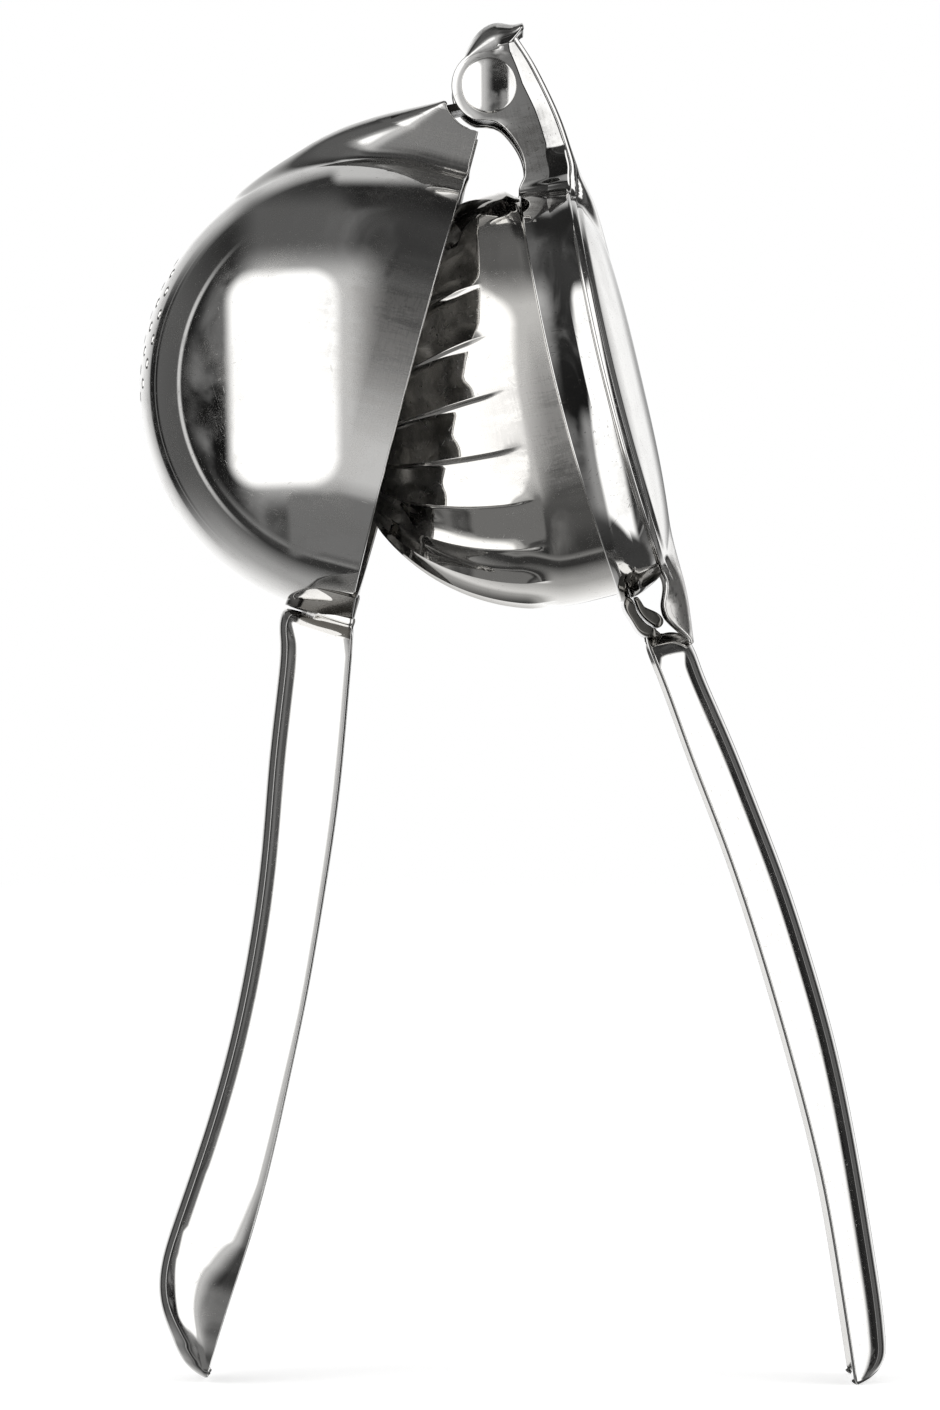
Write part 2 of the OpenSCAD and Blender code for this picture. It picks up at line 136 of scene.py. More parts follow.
@dataclass
class Skin:
    """A mesh as whole arrays: points, one normal for each, and faces of four or three corners.

    Points numbered from inner[0] up to inner[1] lie on the inner face of a wall.
    """

    points: Array
    normals: Array
    quads: Array = field(default_factory=lambda: np.zeros((0, 4), int))
    tris: Array = field(default_factory=lambda: np.zeros((0, 3), int))
    inner: tuple[int, int] = (0, 0)

    def joined(self, *others: "Skin") -> "Skin":
        """This skin and the others as one."""
        parts = [self, *others]
        shift = np.cumsum([0] + [len(p.points) for p in parts[:-1]])
        return Skin(
            np.concatenate([p.points for p in parts]),
            np.concatenate([p.normals for p in parts]),
            np.concatenate([p.quads + k for p, k in zip(parts, shift)]),
            np.concatenate([p.tris + k for p, k in zip(parts, shift)]),
            self.inner,
        )

    def welded(self, reach: float = 2e-6) -> "Skin":
        """Points nearer than reach become one, and quads that lose a corner become triangles."""
        keys = np.round(self.points / reach).astype(np.int64)
        _, first, back = np.unique(keys, axis=0, return_index=True, return_inverse=True)
        back = back.ravel()
        normals = np.zeros((len(first), 3))
        np.add.at(normals, back, self.normals)
        quads, tris = back[self.quads], back[self.tris]
        same = quads == np.roll(quads, -1, axis=1)
        thin = same.sum(axis=1)
        kept = quads[thin == 0]
        once = quads[thin == 1]
        rolled = np.argmax(same[thin == 1], axis=1)
        order = (rolled[:, None] + 1 + np.arange(3)) % 4
        cut = np.take_along_axis(once, order, axis=1)
        tris = np.concatenate([tris, cut])
        a, b, c = tris.T if len(tris) else (np.zeros(0, int),) * 3
        tris = tris[(a != b) & (b != c) & (a != c)]
        return Skin(self.points[first], unit(normals), kept, tris)

    def mirrored(self) -> "Skin":
        """The skin mirrored in the plane y = 0, with its faces turned back outwards."""
        flip = [1, -1, 1]
        return Skin(
            self.points * flip, self.normals * flip, self.quads[:, ::-1], self.tris[:, ::-1]
        )

    def edges(self) -> Array:
        """Directed edges that belong to one face only."""
        loops = [np.stack([f[:, k], f[:, (k + 1) % f.shape[1]]], 1)
                 for f in (self.quads, self.tris) for k in range(f.shape[1])]
        every = np.concatenate(loops)
        count = len(self.points)
        key = np.sort(every, axis=1) @ np.array([count, 1])
        _, back, times = np.unique(key, return_inverse=True, return_counts=True)
        return every[times[back.ravel()] == 1]

    def thickened(self, wall: float, edge: float, steps: int = 5) -> "Skin":
        """A closed wall under the skin with rounded edges.

        The inner face is the skin moved back along its normals. Round each open edge a half
        ellipse joins the two faces: half the wall high and edge wide.

        Args:
            wall: thickness in millimetres.
            edge: how far the rounded edge stands out in millimetres.
            steps: faces across the rounded edge.

        Returns:
            The closed skin.
        """
        wall, edge, n = wall * MM, edge * MM, len(self.points)
        half = wall / 2
        rim = self.edges()
        outward = np.zeros((n, 3))
        run = unit(self.points[rim[:, 1]] - self.points[rim[:, 0]])
        for end in (0, 1):
            np.add.at(outward, rim[:, end], np.cross(run, self.normals[rim[:, end]]))
        on_rim = np.unique(rim)
        place = np.full(n, -1)
        place[on_rim] = np.arange(len(on_rim))
        normal, out = self.normals[on_rim], unit(outward[on_rim])
        middle = self.points[on_rim] - half * normal
        points = [self.points, self.points - wall * self.normals]
        normals = [self.normals, -self.normals]
        for j in range(1, steps):
            c, s = math.cos(math.pi * j / steps), math.sin(math.pi * j / steps)
            points.append(middle + half * c * normal + edge * s * out)
            normals.append(unit(edge * c * normal + half * s * out))
        rings = [place[rim] + 2 * n + j * len(on_rim) for j in range(steps - 1)]
        rings = [rim, *rings, rim + n]
        bands = [
            np.stack([u[:, 1], u[:, 0], v[:, 0], v[:, 1]], 1) for u, v in zip(rings, rings[1:])
        ]
        return Skin(
            np.concatenate(points),
            np.concatenate(normals),
            np.concatenate([self.quads, self.quads[:, ::-1] + n, *bands]),
            np.concatenate([self.tris, self.tris[:, ::-1] + n]),
            (n, 2 * n),
        )

    def to_object(self, name: str, materials: Sequence[bpy.types.Material]) -> bpy.types.Object:
        """Puts the skin into a mesh object at the origin, shaded with its own normals.

        Args:
            name: name of the object.
            materials: the material of the outer face and edges, and that of the inner face.

        Returns:
            The object.
        """
        mesh = bpy.data.meshes.new(name)
        faces = self.quads.tolist() + self.tris.tolist()
        mesh.from_pydata(self.points.tolist(), [], faces)
        mesh.polygons.foreach_set("use_smooth", np.ones(len(faces), bool))
        for material in materials:
            mesh.materials.append(material)
        if len(materials) > 1:
            first, last = self.inner
            inside = [((f >= first) & (f < last)).all(axis=1) for f in (self.quads, self.tris)]
            mesh.polygons.foreach_set("material_index", np.concatenate(inside).astype(np.int32))
        mesh.update()
        mesh.normals_split_custom_set_from_vertices(unit(self.normals).tolist())
        piece = bpy.data.objects.new(name, mesh)
        bpy.context.scene.collection.objects.link(piece)
        return piece


def unit(v: Array) -> Array:
    """Vectors made one long, with zero vectors left as they are."""
    size = np.linalg.norm(v, axis=-1, keepdims=True)
    return v / np.where(size > 1e-15, size, 1)


def spread(s: Array, y: Array, q: Array) -> Array:
    """Points (s, y, q) from three arrays or numbers that are stretched to one shape."""
    return np.stack(np.broadcast_arrays(s, y, q), -1)


def around(turn: Array, along: int = -1, across: int = -1) -> Array:
    """Unit vectors at the given turns, with the sign of their two parts."""
    return np.stack([along * np.cos(turn), across * np.sin(turn)], 1)


def grid_faces(rows: int, columns: int, closed: bool) -> Array:
    """Quads of a grid of rows by columns, joined round its rows if closed."""
    i = np.arange(rows - (0 if closed else 1))
    j = np.arange(columns - 1)
    a = (i[:, None] * columns + j).ravel()
    b = (((i[:, None] + 1) % rows) * columns + j).ravel()
    return np.stack([a, b, b + 1, a + 1], 1)


def grid_skin(points: Array, inside: Array, closed: bool = False) -> Skin:
    """A skin on a grid of points, with normals from its two directions that point away from inside.

    Args:
        points: array of rows by columns by 3, in metres.
        inside: a point, or a grid of points, on the hollow side of the skin.
        closed: whether the last row joins the first.

    Returns:
        The open skin.
    """
    rows, columns = points.shape[:2]
    if closed:
        along = np.roll(points, -1, 0) - np.roll(points, 1, 0)
    else:
        along = np.gradient(points, axis=0)
    across = np.gradient(points, axis=1)
    normal = np.cross(along, across)
    size = np.linalg.norm(normal, axis=-1)
    flat = size < 1e-4 * np.median(size)
    good = np.where(flat[..., None], 0, unit(normal))
    for _ in range(6):
        near = np.zeros_like(good)
        near[1:] += good[:-1]
        near[:-1] += good[1:]
        near[:, 1:] += good[:, :-1]
        near[:, :-1] += good[:, 1:]
        good = np.where((np.linalg.norm(good, axis=-1) < 0.5)[..., None], unit(near), good)
    quads = grid_faces(rows, columns, closed)
    if np.sum(good * (points - inside)) < 0:
        good = -good
        quads = quads[:, ::-1]
    return Skin(points.reshape(-1, 3), good.reshape(-1, 3), quads)


# ---------------------------------------------------------------- finishes


def linear(colour: str) -> tuple[float, float, float, float]:
    """An sRGB hex colour as linear light with an alpha of 1."""
    parts = [int(colour[k : k + 2], 16) / 255 for k in (1, 3, 5)]
    out = [p / 12.92 if p <= 0.04045 else ((p + 0.055) / 1.055) ** 2.4 for p in parts]
    return (*out, 1.0)


def grey(value: float) -> tuple[float, float, float, float]:
    """A grey of the given brightness with an alpha of 1."""
    return (value, value, value, 1)


def add(
    tree: bpy.types.NodeTree, kind: str, links: dict | None = None, **settings
) -> bpy.types.Node:
    """Adds a node with its settings, and sets or links its inputs.

    Args:
        tree: the node tree.
        kind: the node's type name after its first word, ShaderNode.
        links: input name or number to a value, to the output socket that feeds it, or to the
            node whose first output feeds it.
        settings: the node's own properties.

    Returns:
        The node.
    """
    node = tree.nodes.new(f"ShaderNode{kind}")
    for name, value in settings.items():
        setattr(node, name, value)
    for name, value in (links or {}).items():
        if isinstance(value, bpy.types.Node):
            value = value.outputs[0]
        if isinstance(value, bpy.types.NodeSocket):
            tree.links.new(value, node.inputs[name])
        else:
            node.inputs[name].default_value = value
    return node


class Grain(Enum):
    """How a surface was last worked, as the lay of its finest lines."""

    POLISHED = "buffed"
    BRUSHED = "brushed"
    TURNED = "turned"


# How far each way of working lets the lay of its lines show.
LAY_SHARE = {Grain.POLISHED: 0.35, Grain.BRUSHED: 1.0, Grain.TURNED: 0.9}
EASED = {"interpolation_type": "SMOOTHSTEP"}


@dataclass(frozen=True)
class Marks:
    """A scatter of marks: noise about size wide, eased from nothing at low to a mark at high.

    Attributes:
        size: width of a mark in millimetres.
        detail: octaves of the noise.
        rough: how much the finer octaves count.
        low: level of the noise at which a mark starts.
        high: level at which it is full.
        clear: value between the marks.
        scale: stretch of the pattern each way.
        turn: turn of the pattern in radians, before its stretch.
        move: shift of the pattern, after its stretch.
    """

    size: float
    detail: float
    rough: float
    low: float
    high: float
    clear: float = 0.0
    scale: tuple[float, float, float] = (1, 1, 1)
    turn: tuple[float, float, float] = (0, 0, 0)
    move: tuple[float, float, float] = (0, 0, 0)

    def drawn(self, tree: bpy.types.NodeTree, where: bpy.types.Node) -> bpy.types.Node:
        """Adds the marks at a node's coordinates.

        Args:
            tree: the node tree.
            where: node that gives the place on the surface in millimetres.

        Returns:
            The node that gives the marks.
        """
        if any(self.turn):
            where = add(tree, "Mapping", {0: where, "Rotation": self.turn})
        if any(self.move) or self.scale != (1, 1, 1):
            where = add(tree, "Mapping", {0: where, "Location": self.move, "Scale": self.scale})
        noise = add(tree, "TexNoise", {
            "Vector": where, "Scale": 1 / self.size, "Detail": self.detail,
            "Roughness": self.rough})
        levels = {"Value": noise, "From Min": self.low, "From Max": self.high}
        return add(tree, "MapRange", {**levels, "To Min": self.clear}, **EASED)


# Films that fingers and cloths leave, and the blotches inside them.
SMUDGE = Marks(7.0, 6.0, 0.62, 0.46, 0.66)
BLOTCH = Marks(2.2, 5.0, 0.7, 0.5, 0.7, move=(31, 17, 5))
# Dust, drawn a little coarse so that it shows.
SPECKS = Marks(0.55, 2.0, 0.5, 0.71, 0.76)
# Scratches a hair wide, in three directions.
HAIRLINES = tuple(
    Marks(1.0, 1.0, 0.4, 0.735, 0.765, scale=(2.6, 2.6, 0.16), turn=(tilt * 0.5, tilt, 0.3),
          move=(move, 0, 0))
    for tilt, move in ((0.55, 0), (-0.8, 40), (1.45, 80))
)
# Streaks where another part has rubbed.
RUBBING = Marks(2.0, 5.0, 0.72, 0.38, 0.62, clear=0.25, scale=(0.14, 1, 1))


@dataclass(frozen=True)
class Rub:
    """A spot that has been rubbed: its middle and reach in millimetres of the row frame."""

    middle: tuple[float, float, float]
    reach: float
    share: float


@dataclass(frozen=True)
class Steel:
    """Finish of a piece of austenitic stainless steel.

    The metal is a clear mirror with a film of fine scuffs over it. The film's share varies with
    smudges, hairlines, specks of dust and the lay of the polishing lines.

    Attributes:
        name: the material's name.
        colour: colour of the clean metal.
        haze: colour of the metal under the film.
        gloss: roughness of the clean metal.
        dull: roughness of the film.
        film: share of the film where the metal is cleanest.
        scuffed: share that smudges and polishing lines add.
        grain: how the surface was worked.
        spacing: distance between grain lines in millimetres.
        depth: depth of the relief in millimetres.
        lay: turn of the grain about the pin's direction in degrees.
        centre: middle of turned marks in the row frame in millimetres.
        rubs: rubbed spots.
        hairs: share of film that a hairline adds.
        dust: share of film that a speck adds.
        scratch: depth of hairlines and specks as a share of the relief.
        most: largest share of the film.
    """

    name: str
    colour: str = "#e6e5e3"
    haze: str = "#d6d4d1"
    gloss: float = 0.035
    dull: float = 0.36
    film: float = 0.05
    scuffed: float = 0.3
    grain: Grain = Grain.POLISHED
    spacing: float = 0.35
    depth: float = 0.0012
    lay: float = 0.0
    centre: tuple[float, float, float] = (0.0, 0.0, 0.0)
    rubs: tuple[Rub, ...] = ()
    hairs: float = 0.45
    dust: float = 0.5
    scratch: float = 0.8
    most: float = 0.85

    def material(self) -> bpy.types.Material:
        """Builds the metal from its clear mirror and its film of scuffs."""
        made = bpy.data.materials.new(self.name)
        made.use_nodes = True
        tree = made.node_tree
        tree.nodes.clear()
        node = partial(add, tree)
        plus = {"operation": "MULTIPLY_ADD"}
        times = {"operation": "MULTIPLY"}

        where = node("TexCoord").outputs["Object"]
        middle = node("Mapping", {
            0: where, "Location": [-c for c in self.centre], "Scale": (1 / MM,) * 3})
        turned = node("Mapping", {0: middle, "Rotation": (0, math.radians(self.lay), 0)})
        if self.grain is Grain.TURNED:
            flat = node("VectorMath", {0: middle, 1: (1, 0, 1)}, **times)
            far = node("VectorMath", {0: flat}, operation="LENGTH").outputs["Value"]
            lay_at = node("CombineXYZ", {"X": far})
        else:
            lay_at = node("Mapping", {0: turned, "Scale": (1, 1, 0.04)})
        lines = node("TexNoise", {
            "Vector": lay_at, "Scale": 1 / self.spacing, "Detail": 4.0, "Roughness": 0.65})
        smudge, blotch, specks, rubbing, hairs, *others = (
            marks.drawn(tree, turned) for marks in (SMUDGE, BLOTCH, SPECKS, RUBBING, *HAIRLINES))
        for other in others:
            hairs = node("Math", {0: hairs, 1: other}, operation="MAXIMUM")

        worked = LAY_SHARE[self.grain]
        streak = node("MapRange", {"Value": lines, "From Min": 0.35, "From Max": 0.7}, **EASED)
        streak = node("Math", {0: streak, 1: worked * 0.8, 2: 1 - worked * 0.5}, **plus)
        smeared = node("Math", {0: smudge, 1: self.scuffed, 2: self.film}, **plus)
        share = node("Math", {0: streak, 1: smeared}, **times)
        both = node("Math", {0: blotch, 1: smudge}, **times)
        for marks, most in ((both, self.scuffed * 0.7), (hairs, self.hairs), (specks, self.dust)):
            share = node("Math", {0: marks, 1: most, 2: share}, **plus)
        for rub in self.rubs:
            away = node("VectorMath", {0: middle, 1: rub.middle}, operation="DISTANCE")
            spot = node("MapRange", {
                "Value": away.outputs["Value"], "From Min": rub.reach,
                "From Max": rub.reach * 0.35}, **EASED)
            lined = node("MapRange", {
                "Value": lines, "From Min": 0.2, "From Max": 0.75, "To Min": 0.4}, **EASED)
            worn = node("Math", {0: spot, 1: rubbing}, **times)
            worn = node("Math", {0: worn, 1: lined}, **times)
            share = node("Math", {0: worn, 1: rub.share, 2: share}, **plus)
        share = node("Math", {0: share, 1: self.most}, operation="MINIMUM")

        relief = node("Math", {0: lines, 1: worked}, **times)
        for marks in (hairs, specks):
            relief = node("Math", {0: marks, 1: -self.scratch, 2: relief}, **plus)
        bump = node("Bump", {"Height": relief, "Distance": self.depth * MM})
        gloss = node("MapRange", {
            "Value": blotch, "To Min": self.gloss, "To Max": self.gloss * 1.8}, **EASED)
        metal = {"Metallic": 1.0, "Normal": bump}
        clear = node("BsdfPrincipled", {
            **metal, "Base Color": linear(self.colour), "Roughness": gloss})
        film = node("BsdfPrincipled", {
            **metal, "Base Color": linear(self.haze), "Roughness": self.dull})
        both = node("MixShader", {0: share, 1: clear, 2: film})
        node("OutputMaterial", {"Surface": both})
        return made


# ---------------------------------------------------------------- shared forms


@dataclass(frozen=True)
class Arch:
    """Cross-section of a pressed tray: a drafted wall, a bend and a lightly crowned back.

    A wall leaves its front edge at the angle edge_tilt from the arm's own plane, leans in to
    back_tilt along a power law, turns through a bend, and meets its mirror image in the middle.

    Attributes:
        edge_tilt: angle of the wall at its front edge in degrees.
        back_tilt: angle of the wall where the bend starts.
        bend: radius of the bend.
        power: power by which the angle grows along the wall.
        tip_power: what a tip adds to that power.
        tip_lean: degrees that a tip takes from back_tilt.
        crown_tilt: angle where the bend ends.
        samples: points along each of wall, bend and crown.
    """

    edge_tilt: float
    back_tilt: float
    bend: float
    power: float = 0.7
    tip_power: float = 4.0
    tip_lean: float = 10.0
    crown_tilt: float = 85.0
    samples: int = 24

    def half(self, width: float, depth: float, ease: float) -> Array:
        """Half section from the front edge to the middle of the back.

        The angle of the path is known along its length, so its points are the running sum of
        that angle's sine inwards and cosine backwards. The lengths of wall and back are the two
        unknowns that make the sums reach the given half width and depth. The bend takes at most
        three quarters of the depth and four fifths of the half width.

        Args:
            width: half width at the front edge.
            depth: distance from the front edge back to the crest.
            ease: 0 leaves the power as it is, and 1 adds tip_power, which holds the front's
                angle far back, and takes tip_lean from the back's.

        Returns:
            Points of (distance from the middle, distance behind the front edge).
        """
        t = np.linspace(0, 1, self.samples)
        edge, back = self.edge_tilt, self.back_tilt - self.tip_lean * ease
        wall = np.radians(edge + (back - edge) * t ** (self.power + self.tip_power * ease))
        first, last = wall[-1], math.radians(self.crown_tilt)
        rise = math.sin(last) - math.sin(first)
        bend = min(self.bend, 0.75 * depth / max(rise, 0.1), 0.8 * width)
        turn = first + (last - first) * t
        crown = last + (math.pi / 2 - last) * t
        steps = [(a[1:] + a[:-1]) / 2 for a in (wall, crown)]
        mean = [[np.cos(a).mean(), np.sin(a).mean()] for a in steps]
        rest = [depth - bend * rise, width - bend * (math.cos(first) - math.cos(last))]
        length = np.maximum(np.linalg.solve(np.array(mean).T, rest), 0)
        angle = np.concatenate([wall, turn[1:], crown[1:]])
        step = np.concatenate([
            np.full(len(t) - 1, v / (len(t) - 1))
            for v in (length[0], bend * (last - first), length[1])])
        middle = (angle[1:] + angle[:-1]) / 2
        out = width - np.r_[0, np.cumsum(step * np.sin(middle))]
        deep = np.r_[0, np.cumsum(step * np.cos(middle))]
        out -= out[-1] * np.linspace(0, 1, len(out))
        deep *= depth / max(deep[-1], 1e-6)
        return np.stack([out, deep], 1)

    def full(self, width: float, depth: float, ease: float, count: int) -> Array:
        """The whole section from the near front edge to the far one, evenly spaced."""
        half = self.half(width, max(depth, 1e-3), ease) * [-1, 1]
        whole = np.concatenate([half, half[-2::-1] * [-1, 1]])
        return resample(whole, np.linspace(0, 1, count))

    def swept(
        self, arm: Arm, s: Array, width: Array, front: Array, back: Array, ease: Array, count: int
    ) -> Skin:
        """Whole sections at each place down an arm, joined to an open skin.

        Args:
            arm: the arm's frame.
            s: places down the arm.
            width: half width at each place.
            front: q of the front edges there.
            back: q of the crest there.
            ease: how far the section has turned to its tip form there.
            count: points across a section.

        Returns:
            The open skin.
        """
        rows = zip(width, np.maximum(back - front, 0), ease)
        sections = np.stack([self.full(w, d, e, count) for w, d, e in rows])
        across = sections[..., 0]
        local = spread(s[:, None], across, front[:, None] + sections[..., 1])
        hollow = spread(s[:, None], across * 0.3, front[:, None] - 6)
        return grid_skin(arm.place(local), arm.place(hollow))


@dataclass(frozen=True)
class Tray:
    """A long pressed tray between its back and front outlines, open on its front.

    Attributes:
        back: outline of the back in (s, q), from the top to the hooked end of the tip.
        front: outline of the front edges in (s, q).
        half_width: half the width at the front edges.
        tip: length of the rounded tip in plan.
        tip_width: half the width that is left at the end of the tip.
        top: length of the rounding in plan at the top.
        top_width: half the width at the top.
        arch: cross-section.
        ease: places in s and how far the wall has turned in towards the tip there.
        wall: thickness of the sheet.
        edge: how far its rounded edges stand out.
        columns: points across a section.
    """

    back: Array
    front: Array
    half_width: float
    tip: float
    tip_width: float
    top: float
    top_width: float
    arch: Arch
    ease: tuple = ((0.0, 0.0), (1.0, 0.0))
    wall: float = 1.2
    edge: float = 0.18
    columns: int = 64

    def width_at(self, s: Array) -> Array:
        """Half width in plan: constant, with an elliptic rounding at each end."""
        start, end = self.back[:, 0].min(), self.back[:, 0].max()
        wide = np.full_like(s, self.half_width)
        ends = ((self.tip, self.tip_width, end - s), (self.top, self.top_width, s - start))
        for reach, small, near in ends:
            x = np.clip(1 - near / reach, 0, 1)
            wide = np.minimum(wide, small + (self.half_width - small) * np.sqrt(1 - x * x))
        return wide

    def skin(self, arm: Arm) -> Skin:
        """Sections across the tray along its back outline, joined to a wall with round edges."""
        s, back = self.back.T
        front = np.interp(s, self.front[:, 0], self.front[:, 1])
        ease = np.interp(s, *np.transpose(self.ease))
        swept = self.arch.swept(arm, s, self.width_at(s), front, back, ease, self.columns)
        return swept.thickened(self.wall, self.edge)


# ---------------------------------------------------------------- bowl arm


@dataclass(frozen=True)
class BowlArm:
    """The arm with the strainer bowl, its saddle and its deep tray handle.

    Attributes:
        arm: the arm's frame.
        radius: outer radius of the bowl.
        reach: distance from the pin to the bowl's middle.
        band: height of the straight band before the half sphere.
        wall: thickness of the bowl.
        edge: how far its rounded edge stands out.
        saddle_wall: thickness of the saddle.
        saddle_edge: how far its rounded edge stands out.
        neck_half: half width of the neck near the pin.
        neck_flare: how much that grows for each millimetre down the arm.
        blend: distance over which neck and sphere flow together.
        pole_angle: half the angle that the pierced disc takes up, in degrees.
        hole: radius of a juice hole.
        hole_points: points round a hole.
        collar: distance from a hole to the ring of points round it.
        pitch: distance from one ring of holes to the next.
        rings: rings of holes round the middle one.
        mesh: distance between the disc's other points.
        shift: how far every second row of them is moved.
        clear: least distance from a hole to one of them.
        margin: least distance from the disc's edge to one of them.
        nearest: distance from the bowl's middle where the search for its outer face starts.
        farthest: distance where it ends.
        spine: crest of the neck in (s, q).
        crown: places in s and how far the neck's back rises over its flat sides there.
    """

    arm: Arm
    radius: float = 36.98
    reach: float = 50.8
    band: float = 6.0
    wall: float = 1.0
    edge: float = 0.28
    saddle_wall: float = 1.1
    saddle_edge: float = 0.3
    neck_half: float = 8.0
    neck_flare: float = 0.05
    blend: float = 2.6
    pole_angle: float = 23.0
    hole: float = 1.0
    hole_points: int = 28
    collar: float = 0.35
    pitch: float = 4.0
    rings: int = 3
    mesh: float = 0.75
    shift: float = 0.38
    clear: float = 0.7
    margin: float = 0.5
    nearest: float = 20.0
    farthest: float = 62.0
    spine: tuple = ((3.7, 6.3), (8.4, 15.8), (12.5, 21.9), (17.0, 26.7), (22.0, 31.0),
                    (27.4, 34.4), (33.0, 37.0))
    crown: tuple = ((3.7, 1.0), (5.0, 2.6), (7.0, 5.5), (9.7, 8.6), (15.2, 10.0), (24.0, 10.5),
                    (33.0, 10.0))

    def gap(self, p: Array) -> Array:
        """Signed distance, nearly, from the outer face: a band and half sphere, and the neck.

        The neck is a bar that runs along s with flat sides and an elliptic back whose crest
        follows spine and whose rise from the sides is crown. It sinks into the sphere from
        s = 26 on and ends past s = 30. A smooth union blends the two.
        """
        s, y, q = p[..., 0] - self.reach, p[..., 1], p[..., 2]
        ball = np.sqrt(s * s + y * y + np.maximum(q - self.band, 0) ** 2) - self.radius
        crest = spline(self.spine)
        crown = np.asarray(self.crown, float)
        top = np.interp(p[..., 0], crest[:, 0], crest[:, 1])
        before = crest[0, 1] + 2.2 * (p[..., 0] - crest[0, 0])
        top = np.where(p[..., 0] < crest[0, 0], before, top)
        rise = np.interp(p[..., 0], crown[:, 0], crown[:, 1])
        half = self.neck_half + self.neck_flare * np.maximum(p[..., 0] - 5, 0)
        over = np.maximum(q - (top - rise), 0) / rise
        bar = (np.sqrt((y / half) ** 2 + over**2) - 1) * np.minimum(half, rise)
        bar = bar + 4 * smooth(p[..., 0], 26.0, 33.0) + np.maximum(p[..., 0] - 30, 0)
        mix = np.clip(0.5 + 0.5 * (ball - bar) / self.blend, 0, 1)
        return ball * (1 - mix) + bar * mix - self.blend * mix * (1 - mix)

    def surface(self, towards: Array) -> tuple[Array, Array]:
        """Where rays from the bowl's middle meet the outer face, by halving, and the slope there.

        Args:
            towards: unit vectors in the arm's frame.

        Returns:
            The points and their outward normals, in the arm's frame.
        """
        middle = np.array([self.reach, 0, self.band])
        low, high = (np.full(towards.shape[:-1], r) for r in (self.nearest, self.farthest))
        for _ in range(40):
            mid = (low + high) / 2
            inside = self.gap(middle + mid[..., None] * towards) < 0
            low, high = np.where(inside, mid, low), np.where(inside, high, mid)
        at = middle + ((low + high) / 2)[..., None] * towards
        step = 0.02
        slope = np.stack([self.gap(at + step * e) - self.gap(at - step * e) for e in np.eye(3)], -1)
        return at, unit(slope)

    def rim(self) -> Array:
        """Open edge of the bowl from the middle of its foot to the middle of the neck's end."""
        turn = np.radians(np.r_[np.linspace(180, 30, 96)[:-1], np.linspace(30, 13.2, 34)])
        ring = spread(self.reach - self.radius * np.cos(turn), -self.radius * np.sin(turn), 0.0)
        half = self.neck_half
        side = spline([(14.0, -half - 0.45, 0.0), (10.5, -half - 0.27, 0.0),
                       (7.7, -half - 0.12, 0.0)], 24)
        end = spline([(7.5, -half - 0.12, 0.3), (7.6, -half - 0.12, 1.7),
                      (7.1, -half - 0.1, 3.3), (5.7, -half, 5.4)], 14)
        over = spline([(5.2, -half + 0.1, 6.0), (4.6, -6.6, 6.5), (3.9, -3.5, 6.6),
                       (3.7, 0.0, 6.6)], 14)
        return np.concatenate([ring, side, end, over])

    def skin(self) -> Skin:
        """The bowl: columns from its open edge to the pole's disc, which the holes pierce.

        Each column is a run of rays from the bowl's middle. It turns as it climbs, so that the
        columns end more evenly round the disc than they start on the edge.
        """
        near = self.rim() - [self.reach, 0, self.band]
        turn = np.degrees(np.arctan2(-near[:, 1], -near[:, 0]))
        fall = np.degrees(np.arctan2(np.hypot(near[:, 0], near[:, 1]), near[:, 2]))
        goal = 0.72 * turn + 0.28 * np.linspace(180, 0, len(turn))
        v = np.linspace(0, 1, 92)
        lean = fall[:, None] + (self.pole_angle - fall[:, None]) * v
        about = turn[:, None] + (goal - turn)[:, None] * v**1.5
        about = np.concatenate([about, -about[-2:0:-1]])
        lean = np.concatenate([lean, lean[-2:0:-1]])
        a, b = np.radians(about), np.radians(lean)
        towards = spread(-np.cos(a) * np.sin(b), -np.sin(a) * np.sin(b), np.cos(b))
        at, normal = self.surface(towards)
        quads = grid_faces(*at.shape[:2], closed=True)
        wall = Skin(at.reshape(-1, 3), normal.reshape(-1, 3), quads)
        local = wall.joined(self.pole_disc(np.radians(about[:, -1])))
        return self.placed(local).welded().thickened(self.wall, self.edge)

    def placed(self, local: Skin) -> Skin:
        """The skin in the row frame, its faces turned to point along its normals."""
        points = self.arm.place(local.points)
        normals = unit(self.arm.place(local.points + local.normals) - points)
        out = Skin(points, normals, local.quads, local.tris)
        for faces in (out.quads, out.tris):
            if len(faces):
                corner = points[faces[:, :3]]
                facing = np.cross(corner[:, 1] - corner[:, 0], corner[:, 2] - corner[:, 0])
                wrong = np.einsum("ij,ij->i", facing, normals[faces[:, 0]]) < 0
                faces[wrong] = faces[wrong][:, ::-1]
        return out

